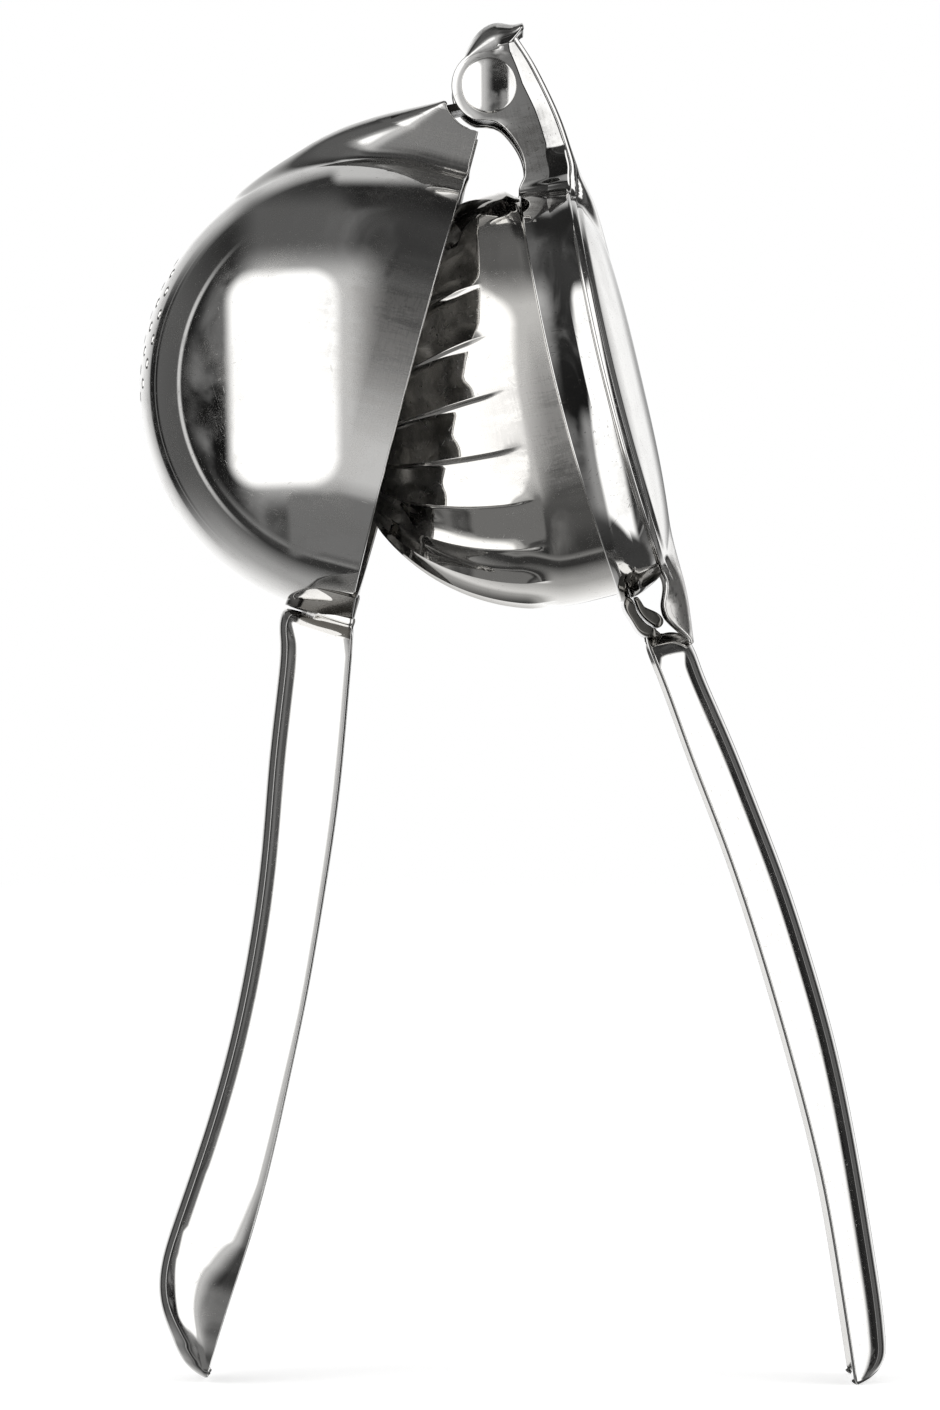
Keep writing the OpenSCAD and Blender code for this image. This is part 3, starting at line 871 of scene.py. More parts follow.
    def pole_disc(self, turn: Array) -> Skin:
        """Triangles over the pole between the last ring of columns and the juice holes.

        Points lie on a flat map whose distance from the middle is the arc on the sphere: the
        outer ring, two rings round each hole, and a lattice between, with every second row
        moved by about half a step. The map is then wrapped on the sphere again.

        Args:
            turn: turns of the outer ring's points about the bowl's axis, in radians.

        Returns:
            The pierced disc in the arm's frame.
        """
        reach = math.radians(self.pole_angle) * self.radius
        outer = reach * around(turn)
        middle = np.concatenate([np.zeros((1, 2))] + [
            ring * self.pitch * around(np.arange(6 * ring) * 2 * np.pi / (6 * ring), 1, 1)
            for ring in range(1, self.rings + 1)])
        count = self.hole_points
        loop = around(np.arange(count) * 2 * np.pi / count, 1, 1)
        radii = (self.hole, self.hole + self.collar)
        holes, collars = ((middle[:, None] + r * loop).reshape(-1, 2) for r in radii)
        span = np.arange(-reach, reach + 1, self.mesh)
        lattice = np.stack(np.meshgrid(span, span), -1)
        lattice[::2, :, 0] += self.shift
        lattice = lattice.reshape(-1, 2)
        gap = np.linalg.norm(lattice[:, None] - middle, axis=-1).min(axis=1)
        inside = np.linalg.norm(lattice, axis=1) < reach - self.margin
        free = inside & (gap > self.hole + self.clear)
        flat = np.concatenate([outer, holes, collars, lattice[free]])
        n = len(outer)
        loops = [(0, n)] + [(n + count * k, count) for k in range(len(middle))]
        edges = [(first + i, first + (i + 1) % size) for first, size in loops for i in range(size)]
        spots, _, faces, *_ = delaunay_2d_cdt([Vector(p) for p in flat], edges, [], 0, 1e-6)
        flat = np.array([tuple(p) for p in spots])
        tris = np.array([f for f in faces if len(f) == 3])
        centre = flat[tris].mean(axis=1)
        gap = np.linalg.norm(centre[:, None] - middle, axis=-1).min(axis=1)
        tris = tris[gap > self.hole * 0.995]
        far = np.linalg.norm(flat, axis=1)
        angle = far / self.radius
        across = flat / np.maximum(far, 1e-9)[:, None] * np.sin(angle)[:, None]
        normal = np.concatenate([across, np.cos(angle)[:, None]], 1)
        return Skin(normal * self.radius + [self.reach, 0, self.band], normal, tris=tris)

    def saddle(self) -> Skin:
        """The saddle between bowl and handle.

        Its half width grows upwards by a power of the way above s = 89.2, so that it flares
        onto the bowl's foot, and at s = 88 its back steps down into the handle.
        """
        s = np.linspace(84.3, 98, 76)
        back = 10.4 - 3.6 * smooth(s, 88.0, 88.35) - 0.1 * np.maximum(s - 90, 0)
        front = -0.3 - 0.03 * (s - 84.2)
        wide = 6.4 + np.maximum(89.2 - s, 0) ** 1.45
        arch = Arch(edge_tilt=2, back_tilt=10, bend=4.2)
        skin = arch.swept(self.arm, s, wide, front, back, 0 * s, 48)
        return skin.thickened(self.saddle_wall, self.saddle_edge)

    def handle(self) -> Tray:
        """The deep tray handle, hooked at its tip."""
        back = spline([
            (88.55, 7.4), (88.4, 9.0), (88.6, 10.3), (90.0, 10.7), (94, 9.8), (100, 8.6),
            (112.7, 6.7), (126.8, 4.2), (142.6, 2.2), (158.7, 1.3), (173.6, 1.6), (188.1, 2.6),
            (195, 2.7), (200, 1.5), (205.7, -2.0), (209.3, -5.4), (210.6, -8.9)], 260)
        front = spline([
            (88.4, -0.8), (100.2, -2.9), (116, -5.5), (131.9, -7.3), (147.8, -8.7), (162, -9.5),
            (177, -10.1), (189, -10.0), (200, -9.4), (210.8, -9.0)], 120)
        ease = ((150, 0), (178, 0.03), (187.9, 0.09), (192.5, 0.25), (205, 1), (210.5, 1))
        return Tray(back, front, 11.0, tip=16, tip_width=3.0, top=5.0, top_width=7.6, ease=ease,
                    arch=Arch(edge_tilt=-9, back_tilt=30, bend=7.0, power=0.25))


# ---------------------------------------------------------------- press arm


@dataclass(frozen=True)
class PressArm:
    """The arm with the press dome: its stamping, dome, back cover, strap and tray handle.

    Attributes:
        arm: the arm's frame.
        reach: distance from the pin to the dome's middle.
        ring: outer radius of the skirt ring.
        rim_low: q of the ring's front edge beside the dome's middle.
        skirt: height of the ring.
        bow_radius: radius of the curve that rim and crease follow along the arm.
        ear: half the distance over the ears.
        eye: radius of the ears round the pin.
        fillet: radius between ear and ring in plan.
        facets: places in s and the width of the leaning facet there.
        knee: radius of the knee between wall and facet.
        crease_bend: radius of the bend at the crease.
        flange: width of the flange inside the ring.
        wall: thickness of the stamping.
        edge: how far its rounded edges stand out.
        seam: distance in metres within which mirrored halves are welded.
        dome: radius of the dome's plain band.
        dome_drop: how far the half sphere's middle lies in front of the arm's plane.
        ribs: number of ridges.
        rib_height: height of a ridge.
        shoulder: how far the dome swells towards the hinge.
    """

    arm: Arm
    reach: float = 50.8
    ring: float = 33.8
    rim_low: float = -1.6
    skirt: float = 7.6
    bow_radius: float = 240.0
    ear: float = 8.0
    eye: float = 5.75
    fillet: float = 2.2
    facets: tuple = ((-5.8, 0.9), (-4.5, 1.6), (1.0, 2.6), (5.5, 2.6), (10.0, 2.9), (22.0, 3.1))
    knee: float = 0.5
    crease_bend: float = 0.8
    flange: float = 5.5
    wall: float = 1.1
    edge: float = 0.32
    seam: float = 5e-6
    dome: float = 32.5
    dome_drop: float = 4.0
    ribs: int = 22
    rib_height: float = 0.9
    shoulder: float = 2.0

    def bow(self, s: Array) -> Array:
        """How far the ring's rim and crease rise towards the ends of the arm."""
        return (s - self.reach) ** 2 / (2 * self.bow_radius)

    def web(self, s: Array) -> Array:
        """Height of the stamping's crease over the ears."""
        line = spline([(-7.5, 5.2), (-5.6, 5.9), (-2.4, 7.0), (2, 8.1), (8, 9.2), (13.3, 9.6),
                       (16.5, 9.5), (20, 8.5), (26.2, 7.3)])
        return np.interp(s, line[:, 0], line[:, 1])

    def plan(self) -> tuple[Array, Array, Array]:
        """Plan outline of the stamping's near half, from the ring's foot to the top of the eye.

        Returns:
            Points (s, y), outward directions (s, y), and inner ends (s, y) of the flange.
        """
        both = self.ring + self.fillet
        side = self.ear + self.fillet
        touch = math.asin(side / both)
        knee = self.reach - both * math.cos(touch)
        ring = around(np.linspace(math.pi, touch, 150))
        arc_out = around(np.linspace(touch, math.pi / 2, 16)[1:])
        arc = [knee, -side] - self.fillet * arc_out
        s = np.r_[np.linspace(knee, -4.8, 52)[1:], -5.2, -5.5, -5.7]
        straight = np.stack([s, np.full_like(s, -self.ear)], 1)
        out = np.concatenate([ring, arc_out, np.tile([0.0, -1.0], (len(s), 1))])
        at = np.concatenate([[self.reach, 0] + self.ring * ring, arc, straight])
        flange = self.ring - self.flange
        path = np.array([[self.reach - flange * math.cos(touch), -flange * math.sin(touch)],
                         [self.reach - flange, 0], [knee, 0]])
        turned = resample(path, np.linspace(0, 1, len(arc) + 1))[1:]
        ends = np.stack([s, np.zeros_like(s)], 1)
        return at, out, np.concatenate([[self.reach, 0] + flange * ring, turned, ends])

    def frame_half(self) -> Skin:
        """Near half of the stamping's outer face.

        Across each column the path leans in from the ear or skirt by a known angle: a nearly
        upright wall, a knee, a leaning facet, a crease bend, and then the flat flange or web.
        """
        at, out, inner = self.plan()
        s = at[:, 0]
        on_ring = np.clip(smooth(out[:, 1], -0.999, -0.9) * (s > 14) + (s > 22), 0, 1)
        along_ear = (s < 19) & (out[:, 1] < -0.2)
        edge = spline([(4.95, -2.4), (5.75, -0.2), (8.0, 1.5), (12.5, 2.7), (15.4, 2.2),
                       (17.2, 1.2)])
        eye_low = -np.sqrt(np.maximum(self.eye**2 - s**2, 0))
        front_ear = np.where(s < 4.95, eye_low, np.interp(s, edge[:, 0], edge[:, 1]))
        front_ring = self.rim_low + self.bow(s)
        mix = smooth(s, 15.5, 18.0)
        front = np.where(along_ear, front_ear * (1 - mix) + front_ring * mix, front_ring)
        back_ring = self.rim_low + self.skirt + self.bow(s)
        mix = smooth(s, 15.0, 20.5)
        back = np.where(s < 21, self.web(s) * (1 - mix) + back_ring * mix, back_ring)

        tilt = np.radians(0.5 + 11 * on_ring + 4 * on_ring * smooth(s, 52, 66))
        stood = smooth(s, 11.0, 13.6) * (1 - smooth(s, 19.0, 27.0))
        t0, t1 = (np.radians(a - b * stood)[:, None] for a, b in ((24, 20), (37, 24)))
        last = np.radians(87)
        facet = np.interp(s, *np.transpose(self.facets))
        rise_facet = facet * np.cos((t0 + t1)[:, 0] / 2)
        rise_bend = self.crease_bend * (np.sin(last) - np.sin(t1[:, 0]))
        wall = np.maximum(back - front - rise_facet - rise_bend, 0.2)
        counts = (12, 5, 9, 7)
        lean_wall = tilt[:, None] * (0.25 + 1.5 * np.linspace(0, 1, counts[0]) ** 1.5)
        turns = zip((lean_wall[:, -1:], t0, t1), (t0, t1, last), counts[1:])
        lean = np.concatenate([lean_wall] + [
            a + (b - a) * np.linspace(0, 1, count)[1:] for a, b, count in turns], 1)
        lengths = ((wall - self.knee * np.sin(t0[:, 0]))[:, None], self.knee * t0,
                   facet[:, None], self.crease_bend * (last - t1))
        step = np.concatenate([
            np.repeat(length / (count - 1), count - 1, 1)
            for length, count in zip(lengths, counts)], 1)
        mean = (lean[:, 1:] + lean[:, :-1]) / 2
        inset, rise = (
            np.pad(np.cumsum(step * part(mean), 1), ((0, 0), (1, 0))) for part in (np.sin, np.cos))
        rise *= ((back - front) / rise[:, -1])[:, None]

        planned = at[:, None] - out[:, None] * inset[..., None]
        flat = np.linspace(0, 1, 9)[1:, None]
        flat = planned[:, -1:] + (inner[:, None] - planned[:, -1:]) * flat
        height = front[:, None] + rise
        height = np.concatenate([height, np.repeat(height[:, -1:], flat.shape[1], 1)], 1)
        local = self.rolled(spread(*np.moveaxis(np.concatenate([planned, flat], 1), -1, 0), height))
        hollow = local.copy()
        hollow[..., :2] -= out[:, None] * 4
        hollow[..., 2] -= 4
        hollow[:, -1, 1] = local[:, -1, 1]
        return grid_skin(self.arm.place(local), self.arm.place(hollow))

    def rolled(self, local: Array) -> Array:
        """Turns the ear's free edge in over its last stretch, by the square of the way to it."""
        last, depth = 1.2, 0.2
        s, q = local[..., 0], local[..., 2]
        edge = local[:, :1, 2]
        near = np.where((s < 3.5) & (q < 3.0), self.eye - np.hypot(s, q), q - edge)
        way = np.clip(1 - near / last, 0, 1)
        on_ear = smooth(-s, -8.0, -3.0)
        local[..., 1] += depth * way**2 * on_ear * (local[..., 1] < -5)
        return local

    def frame(self) -> Skin:
        """The whole stamping: both halves welded, walled, and the curl over the pin."""
        half = self.frame_half()
        whole = half.joined(half.mirrored()).welded(self.seam)
        return whole.thickened(self.wall, self.edge).joined(self.curl())

    def curl(self) -> Skin:
        """The cap that the two eyes rise into: it arches over the pin and ends in a flared lip.

        Two paths run from the front of the eyes to the lip: one over the cap's crest, and one
        along the eyes' edge. At each step along them a flattened half ellipse joins the two,
        from one ear over the crest to the other.
        """
        wall, edge, rows = 0.9, 0.35, 60
        crest = spline([(-4.45, -3.75), (-6.6, -2.2), (-8.6, -0.3), (-9.85, 1.9), (-9.95, 3.9),
                        (-9.25, 5.6), (-9.0, 6.6), (-9.0, 7.5)], rows)
        base = spline([(-4.2, -3.45), (-5.0, -2.1), (-5.35, -0.4), (-5.4, 1.4), (-5.6, 3.2),
                       (-6.1, 4.9), (-6.9, 6.1), (-7.6, 6.9)], rows)
        turn = np.linspace(0, np.pi, 73)
        rise = np.abs(np.sin(turn)) ** 0.8
        half = 7.9 - 0.8 * smooth(np.linspace(0, 1, rows), 0.6, 1.0)
        local = spread(
            base[:, :1] + (crest - base)[:, :1] * rise,
            -half[:, None] * np.sign(np.cos(turn)) * np.abs(np.cos(turn)) ** 0.85,
            base[:, 1:] + (crest - base)[:, 1:] * rise)
        inside = self.arm.place(np.array([-4.5, 0, 2.5]))
        return grid_skin(self.arm.place(local), inside).thickened(wall, edge)

    def fluted_dome(self) -> Skin:
        """The dome: a straight foot, a half sphere, and sharp ridges that meet round its pole.

        Round the dome each ridge is a saw tooth that rises slowly over one side and drops
        sharply over the other, with its height eased to nothing at the foot and at the pole. In
        front of the rim the dome swells by shoulder towards the hinge.
        """
        wall, edge, band, per = 1.0, 0.2, 7.4, 17
        t = (np.arange(per) + 0.5) / per * 2 - 1
        local_turn = 0.5 * np.sign(t) * np.abs(t) ** 1.7
        pitch = 2 * np.pi / self.ribs
        turn = ((np.arange(self.ribs)[:, None] + 0.25 + local_turn) * pitch).ravel()[:, None]
        offset = np.tile(local_turn, self.ribs)
        fall = np.radians(np.r_[
            np.full(7, 90.0), np.linspace(90, 84, 6)[1:], np.linspace(84, 70, 16)[1:],
            np.linspace(70, 12, 44)[1:], 8.0, 4.0, 0.0])
        foot = np.r_[np.linspace(band, 0, 7), np.zeros(len(fall) - 7)]
        away = self.dome * np.sin(fall)[None] * (offset * pitch)[:, None]
        slow = np.maximum(0, 1 - np.maximum(-away, 0) / 3.2) ** 1.6
        sharp = np.maximum(0, 1 - np.maximum(away, 0) / 0.8) ** 1.3
        degrees = np.degrees(fall)
        height = self.rib_height * (1 - smooth(degrees, 72, 81.5)) * smooth(degrees, 6, 26)
        bare = self.dome - self.rib_height * 0.6 * smooth(84 - degrees, 0, 12)
        radius = bare[None] + slow * sharp * height[None]
        out = radius * np.sin(fall)
        q = -self.dome_drop + foot - radius * np.cos(fall)
        swell = smooth(-q, -0.6, 1.5) * (1 - smooth(-q, 12, 28)) * np.maximum(-np.cos(turn), 0) ** 3
        s = self.reach + out * np.cos(turn) - self.shoulder * swell
        middle = self.arm.place(np.array([self.reach, 0, self.dome_drop]))
        skin = grid_skin(self.arm.place(spread(s, out * np.sin(turn), q)), middle, closed=True)
        return skin.welded().thickened(wall, edge, steps=3)

    def cover(self) -> Skin:
        """The crowned back cover with its strip up to the curl and its tail down to the handle.

        Columns run from the hemmed outline to the middle line. Height climbs from the hem to
        the crest by one minus a power of the way left, with a small groove inside the hem.
        """
        wall, edge, lift = 0.8, 0.3, 0.75
        disc, strip, tail = 31.7, 6.1, 7.6
        bend_top, bend_tail, end = 4.0, 5.0, 93.6
        a_top = math.asin((strip + bend_top) / (disc + bend_top))
        a_tail = math.asin((tail + bend_tail) / (disc + bend_tail))
        knee_top = self.reach - (disc + bend_top) * math.cos(a_top)
        knee_tail = self.reach + (disc + bend_tail) * math.cos(a_tail)
        s = np.linspace(-6.6, knee_top, 44)
        one = np.stack([s, np.full_like(s, -strip)], 1)
        swing = np.linspace(math.pi / 2, a_top, 12)[1:]
        two = [knee_top, -(strip + bend_top)] + bend_top * around(swing, 1, 1)
        three = [self.reach, 0] + disc * around(np.linspace(a_top, math.pi - a_tail, 120)[1:])
        swing = np.linspace(a_tail, math.pi / 2, 12)[1:]
        four = [knee_tail, -(tail + bend_tail)] + bend_tail * around(swing, -1, 1)
        s = np.linspace(knee_tail, end, 24)[1:]
        five = np.stack([s, -tail + 2.0 * smooth(s, 88.0, end)], 1)
        rim = np.concatenate([one, two, three, four, five])
        at = rim[:, 0]

        first, last = len(one) + len(two), len(rim) - len(four) - len(five)
        hub = at.copy()
        hub[first:last] = self.reach + (at[first:last] - self.reach) * 0.55
        lead = smooth(np.linspace(0, 1, len(two) + 1)[1:], 0, 1)
        hub[len(one) : first] = knee_top + (hub[first] - knee_top) * lead
        lead = smooth(np.linspace(1, 0, len(four) + 1)[:-1], 0, 1)
        hub[last : last + len(four)] = knee_tail + (hub[last - 1] - knee_tail) * lead
        rows = np.r_[np.linspace(0, 0.06, 6), np.linspace(0.06, 1, 42)[1:] ** 1.15]
        inner = np.stack([hub, np.zeros_like(hub)], 1)
        plan = rim[:, None] + (inner - rim)[:, None] * rows[None, :, None]
        way = np.linalg.norm(plan - rim[:, None], axis=-1)

        crest = spline([
            (-6.6, 6.2), (-2.4, 7.4), (6, 9.7), (12.1, 10.5), (16.3, 11.0), (21.2, 11.9),
            (29, 12.3), (40, 12.6), (52, 12.5), (65, 12.0), (73, 11.3), (79, 11.2), (85, 11.3),
            (89, 11.0), (93.7, 10.4)])
        top = np.interp(hub, crest[:, 0], crest[:, 1])
        base_ring = self.rim_low + self.skirt + self.bow(at) + lift
        base_strip = self.web(at) + lift
        base_strip = base_strip + (base_ring - base_strip) * smooth(at, 15, 20.5)
        base = np.where(at < 22, base_strip, base_ring)
        base_tail = 7.3 + 2.9 * smooth(at, 88.0, end)
        base = base + (base_tail - base) * smooth(at, 82.5, 87.5)
        power = (2.1 + 1.2 * smooth(at, 81, 88))[:, None]
        climb = 1 - (1 - rows[None]) ** power
        q = base[:, None] + (np.maximum(top, base + 0.2) - base)[:, None] * climb
        hemmed = 1 - smooth(rim[:, :1], 80.0, 86.0)
        groove = 0.42 * hemmed * np.exp(-(((way - 1.5) / 0.5) ** 2))
        roll = 0.55 * hemmed * np.clip(1 - way / 0.8, 0, 1) ** 2
        local = spread(plan[..., 0], plan[..., 1], q - groove - roll)
        skin = grid_skin(self.arm.place(local), self.arm.place(local - [0, 0, 8]))
        return skin.joined(skin.mirrored()).welded(self.seam).thickened(wall, edge)

    def strap(self) -> Skin:
        """The strap between the ring's foot and the handle, folded flat into two rolled lobes."""
        front = self.lobe([
            (84.0, 1.5), (84.9, 0.9), (88.0, 1.4), (90.2, 2.2), (91.3, 3.5), (91.3, 4.7),
            (90.6, 5.0), (89.8, 4.3), (88.3, 3.2), (86.2, 2.5), (84.5, 2.2), (84.0, 1.5)])
        back = self.lobe([
            (84.5, 2.6), (86.4, 2.8), (88.2, 3.5), (89.5, 4.5), (90.1, 5.4), (89.4, 6.3),
            (88.0, 5.9), (86.9, 4.7), (85.6, 3.6), (84.5, 3.2), (84.5, 2.6)])
        return front.joined(back)

    def lobe(self, line: Sequence[tuple[float, float]]) -> Skin:
        """An outline in (s, q) carried along the pin's direction.

        Over its last edge it shrinks towards the outline's middle by a quarter circle, and a flat
        cap closes it.

        Args:
            line: points round the outline, the last one the same as the first.

        Returns:
            The closed skin.
        """
        outline = spline(line, 73)[:-1]
        middle = outline.mean(axis=0)
        half, edge, cap = 8.7, 1.1, 0.35
        turn = np.radians(np.linspace(90, 0, 9))
        size, way = 1 - 0.3 * (1 - np.cos(turn)), edge * (1 - np.sin(turn))
        size = np.r_[0.0, cap, size, 1, size[::-1], cap, 0.0]
        y = np.r_[-half, -half, -half + way, 0, half - way[::-1], half, half]
        s, q = (m + (outline[:, k, None] - m) * size for k, m in enumerate(middle))
        core = spread(middle[0], np.clip(y, 2 - half, half - 2), middle[1])
        local = self.arm.place(spread(s, y, q))
        return grid_skin(local, self.arm.place(core), closed=True).welded()

    def handle(self) -> Tray:
        """The shallow tray handle, closed at its top and hooked at its tip."""
        back = spline([
            (91.2, 3.4), (91.0, 5.6), (91.3, 7.6), (92.3, 9.2), (94.2, 10.1), (97.8, 10.6),
            (103.8, 11.5), (111, 12.7), (121.4, 14.1), (133, 15.5), (147.2, 16.5), (160.4, 16.9),
            (172, 16.6), (183, 15.9), (195, 14.9), (204, 14.0), (209, 13.25), (211.6, 12.5),
            (213.2, 11.1), (214.1, 9.0), (214.3, 7.0)], 270)
        front = spline([
            (91.1, 3.2), (98.4, 4.3), (109.7, 5.5), (125.4, 7.4), (145, 8.9), (165, 9.6),
            (183, 9.5), (198, 8.4), (214.4, 6.9)], 120)
        return Tray(back, front, 11.0, tip=5, tip_width=9.0, top=6.0, top_width=5.0,
                    arch=Arch(edge_tilt=17, back_tilt=36, bend=7.0, power=0.3))


# ---------------------------------------------------------------- hinge


@dataclass(frozen=True)
class Hinge:
    """The rivet and its washer.

    Attributes:
        arm: the arm's frame.
        head: radius of the rivet's head.
        shank: radius of its shank.
        ear: half the distance over the ears.
        peen: radius of its peened end.
        bore: radius of the washer's bore.
        washer_radius: outer radius of the washer.
        steps: steps round a turned profile.
    """

    arm: Arm
    head: float = 4.45
    shank: float = 3.0
    ear: float = 8.0
    peen: float = 3.75
    bore: float = 3.02
    washer_radius: float = 4.5
    steps: int = 96

    def revolve(self, profile: Array) -> Skin:
        """Turns a profile of (radius, y) once round the pin's axis."""
        turn = np.linspace(0, 2 * np.pi, self.steps + 1)[:-1, None]
        radius, y = profile.T
        local = self.arm.place(spread(radius * np.cos(turn), y, radius * np.sin(turn)))
        inside = self.arm.place(spread(0.0, np.clip(y, -self.ear, self.ear), 0.0))
        return grid_skin(local, inside, closed=True).welded()

    def rivet(self) -> Skin:
        """Domed head, shank and peened end: arcs and straight runs joined by small rounds."""
        a = np.radians(np.linspace(0, 29, 22))
        r = self.head / math.sin(math.radians(30))
        near = -self.ear - 0.05
        crown = np.stack([r * np.sin(a), near - 1.9 + r * (1 - np.cos(a))], 1)
        edge = spline([crown[-1], (self.head - 0.04, near - 0.6), (self.head - 0.02, near - 0.3),
                       (self.head - 0.14, near - 0.05), (self.head - 0.5, near)], 14)[1:]
        under = [(self.shank + 0.3, near), (self.shank, near + 0.05), (self.shank, self.ear + 0.9)]
        b = np.radians(np.linspace(90, 0, 16))
        peen = np.stack([self.peen * np.sin(b), self.ear + 1.0 + 0.95 * np.cos(b)], 1)
        return self.revolve(np.concatenate([crown, edge, under, peen]))

    def washer(self) -> Skin:
        """A flat ring with rounded edges under the peened end."""
        base, thick, edge = self.ear + 0.05, 0.8, 0.18
        bore, rim, top = self.bore, self.washer_radius, base + thick
        loop = np.array([
            (bore, base + edge), (bore + edge, base), (rim - edge, base), (rim, base + edge),
            (rim, top - edge), (rim - edge, top), (bore + edge, top), (bore, top - edge),
            (bore, base + edge)])
        return self.revolve(resample(loop, np.linspace(0, 1, 60)))


# ---------------------------------------------------------------- studio


@dataclass(frozen=True)
class Panel:
    """A soft light panel on the mirror-ball map: its span each way, corners, fade and strength."""

    left: float
    right: float
    low: float
    high: float
    corner: float
    fade: float
    strength: float


@dataclass(frozen=True)
class Studio:
    """Floor, room, lamps and camera.

    The room is drawn on a mirror-ball map: the place on a chrome ball, seen from the front, in
    which each direction shows. The map runs from -1 to 1 both ways, and its edge is straight
    behind the object.

    Attributes:
        level: brightness of the plain light on what isn't seen in a mirror.
        cloud: brightness of the soft patches in the room's front half.
        span: half the floor's side in metres.
        glow: light that the floor adds for the camera alone.
        eye: the camera's place in millimetres.
        view: height in millimetres that its frame covers at the hinge plane.
        sensor: height of its sensor in millimetres.
        panels: soft panels in front of the object.
        left: brightness of the room's left wall against depth on the map.
        right: that of its right wall.
        below: that of its lower part.
        above: that of its upper part.
    """

    level: float = 0.54
    cloud: float = 0.2
    span: float = 3.0
    glow: float = 0.52
    eye: tuple[float, float, float] = (-6.87, -1100.0, 107.9)
    view: float = 225.6
    sensor: float = 24.0
    panels: tuple = (
        Panel(-0.52, -0.12, 0.40, 0.80, 0.05, 0.09, 0.13),
        Panel(-0.50, -0.02, -0.46, 0.50, 0.06, 0.11, 0.75),
        Panel(-0.36, -0.05, -0.73, -0.47, 0.03, 0.02, 0.19),
        Panel(-0.60, -0.135, -0.43, 0.475, 0.12, 0.03, 1.5),
        Panel(-0.16, 0.30, 0.87, 0.965, 0.03, 0.03, 0.62),
        Panel(0.22, 0.50, -0.52, -0.06, 0.05, 0.06, 0.34),
        Panel(0.35, 0.62, -0.62, 0.52, 0.06, 0.03, 1.4),
        Panel(0.33, 0.72, -0.89, -0.51, 0.06, 0.03, 0.055),
    )
    left: tuple = (
        (0.0, 0.012), (0.2, 0.01), (0.4, 0.006), (0.655, 0.012), (0.665, 0.75), (0.679, 0.75),
        (0.688, 0.10), (0.834, 0.12), (0.844, 0.012), (0.854, 0.012), (0.858, 0.30),
        (0.862, 0.012), (0.897, 0.02), (0.906, 0.45), (0.93, 0.72), (0.96, 1.0), (1.0, 1.15))
    right: tuple = (
        (0.0, 0.012), (0.2, 0.01), (0.4, 0.006), (0.645, 0.03), (0.655, 0.5), (0.668, 0.11),
        (0.78, 0.13), (0.81, 0.03), (0.86, 0.03), (0.9, 0.6), (0.93, 1.15), (0.97, 1.05),
        (0.986, 0.4), (1.0, 0.1))
    below: tuple = (
        (0.0, 0.012), (0.25, 0.10), (0.45, 0.05), (0.57, 0.03), (0.605, 0.26), (0.622, 0.04),
        (0.66, 0.04), (0.71, 0.21), (0.765, 0.38), (0.82, 0.45), (0.88, 0.7), (0.95, 1.0),
        (1.0, 1.15))
    above: tuple = (
        (0.0, 0.012), (0.3, 0.04), (0.5, 0.05), (0.645, 0.02), (0.77, 0.025), (0.82, 0.04),
        (0.86, 0.33), (0.90, 0.6), (0.95, 0.75), (0.975, 1.15), (1.0, 1.15))

    def room(self) -> None:
        """Builds the world: white for the camera, the room for metal, plain light for the rest."""
        world = bpy.data.worlds.new("studio_room")
        bpy.context.scene.world = world
        world.use_nodes = True
        tree = world.node_tree
        tree.nodes.clear()
        node = partial(add, tree)
        none = (0, 0, 0)
        blend = {"data_type": "RGBA"}

        ray = node("TexCoord").outputs["Generated"]
        x, y, z = node("SeparateXYZ", {0: ray}).outputs
        size = y
        for step, by, more in (("MULTIPLY_ADD", -2.0, 2.0), ("MAXIMUM", 1e-5, 0), ("SQRT", 0, 0)):
            size = node("Math", {0: size, 1: by, 2: more}, operation=step)
        across, up = (node("Math", {0: part, 1: size}, operation="DIVIDE") for part in (x, z))
        depth = node("Math", {0: y, 1: 0.5, 2: 0.5}, operation="MULTIPLY_ADD")
        far = node("Math", {0: depth, 1: 1e-5}, operation="MAXIMUM")
        far = node("Math", {0: far}, operation="SQRT")
        slant = node("Math", {0: up, 1: far}, operation="DIVIDE")

        walls = []
        for stops in (self.left, self.right, self.below, self.above):
            walls.append(node("ValToRGB", {0: depth}))
            elements = walls[-1].color_ramp.elements
            for place, _ in stops[1:-1]:
                elements.new(place)
            for element, (place, value) in zip(elements, stops):
                element.position = place
                element.color = grey(value)
        light, *others = walls
        turns = ((across, -0.05, 0.05), (slant, -0.35, -0.85), (slant, 0.35, 0.8))
        layers = [
            (node("MapRange", {"Value": value, "From Min": low, "From Max": high}, **EASED), wall)
            for (value, low, high), wall in zip(turns, others)
        ]
        ball = node("CombineXYZ", {"X": across, "Y": up})
        cloud = node("TexNoise", {"Vector": ball, "Scale": 3.0, "Detail": 4.0, "Distortion": 0.6})
        cloud, front = (
            node("MapRange", {"Value": value, "From Min": low, "From Max": high}, **EASED)
            for value, low, high in ((cloud, 0.45, 0.68), (depth, 0.66, 0.55)))
        cloud = node("Math", {0: cloud, 1: front}, operation="MULTIPLY")
        layers.append((cloud, grey(self.cloud)))
        for p in self.panels:
            centre = ((p.left + p.right) / 2, (p.low + p.high) / 2, 0)
            half = ((p.right - p.left) / 2 - p.corner, (p.high - p.low) / 2 - p.corner, 0)
            away = ball
            for step, by in (("SUBTRACT", centre), ("ABSOLUTE", none), ("SUBTRACT", half),
                             ("MAXIMUM", none), ("LENGTH", none)):
                away = node("VectorMath", {0: away, 1: by}, operation=step)
            mask = node("MapRange", {
                "Value": away.outputs["Value"], "From Min": p.corner + p.fade,
                "From Max": p.corner - p.fade}, **EASED)
            layers.append((mask, grey(p.strength)))
        for share, colour in layers:
            light = node("Mix", {0: share, 6: light, 7: colour}, **blend).outputs[2]

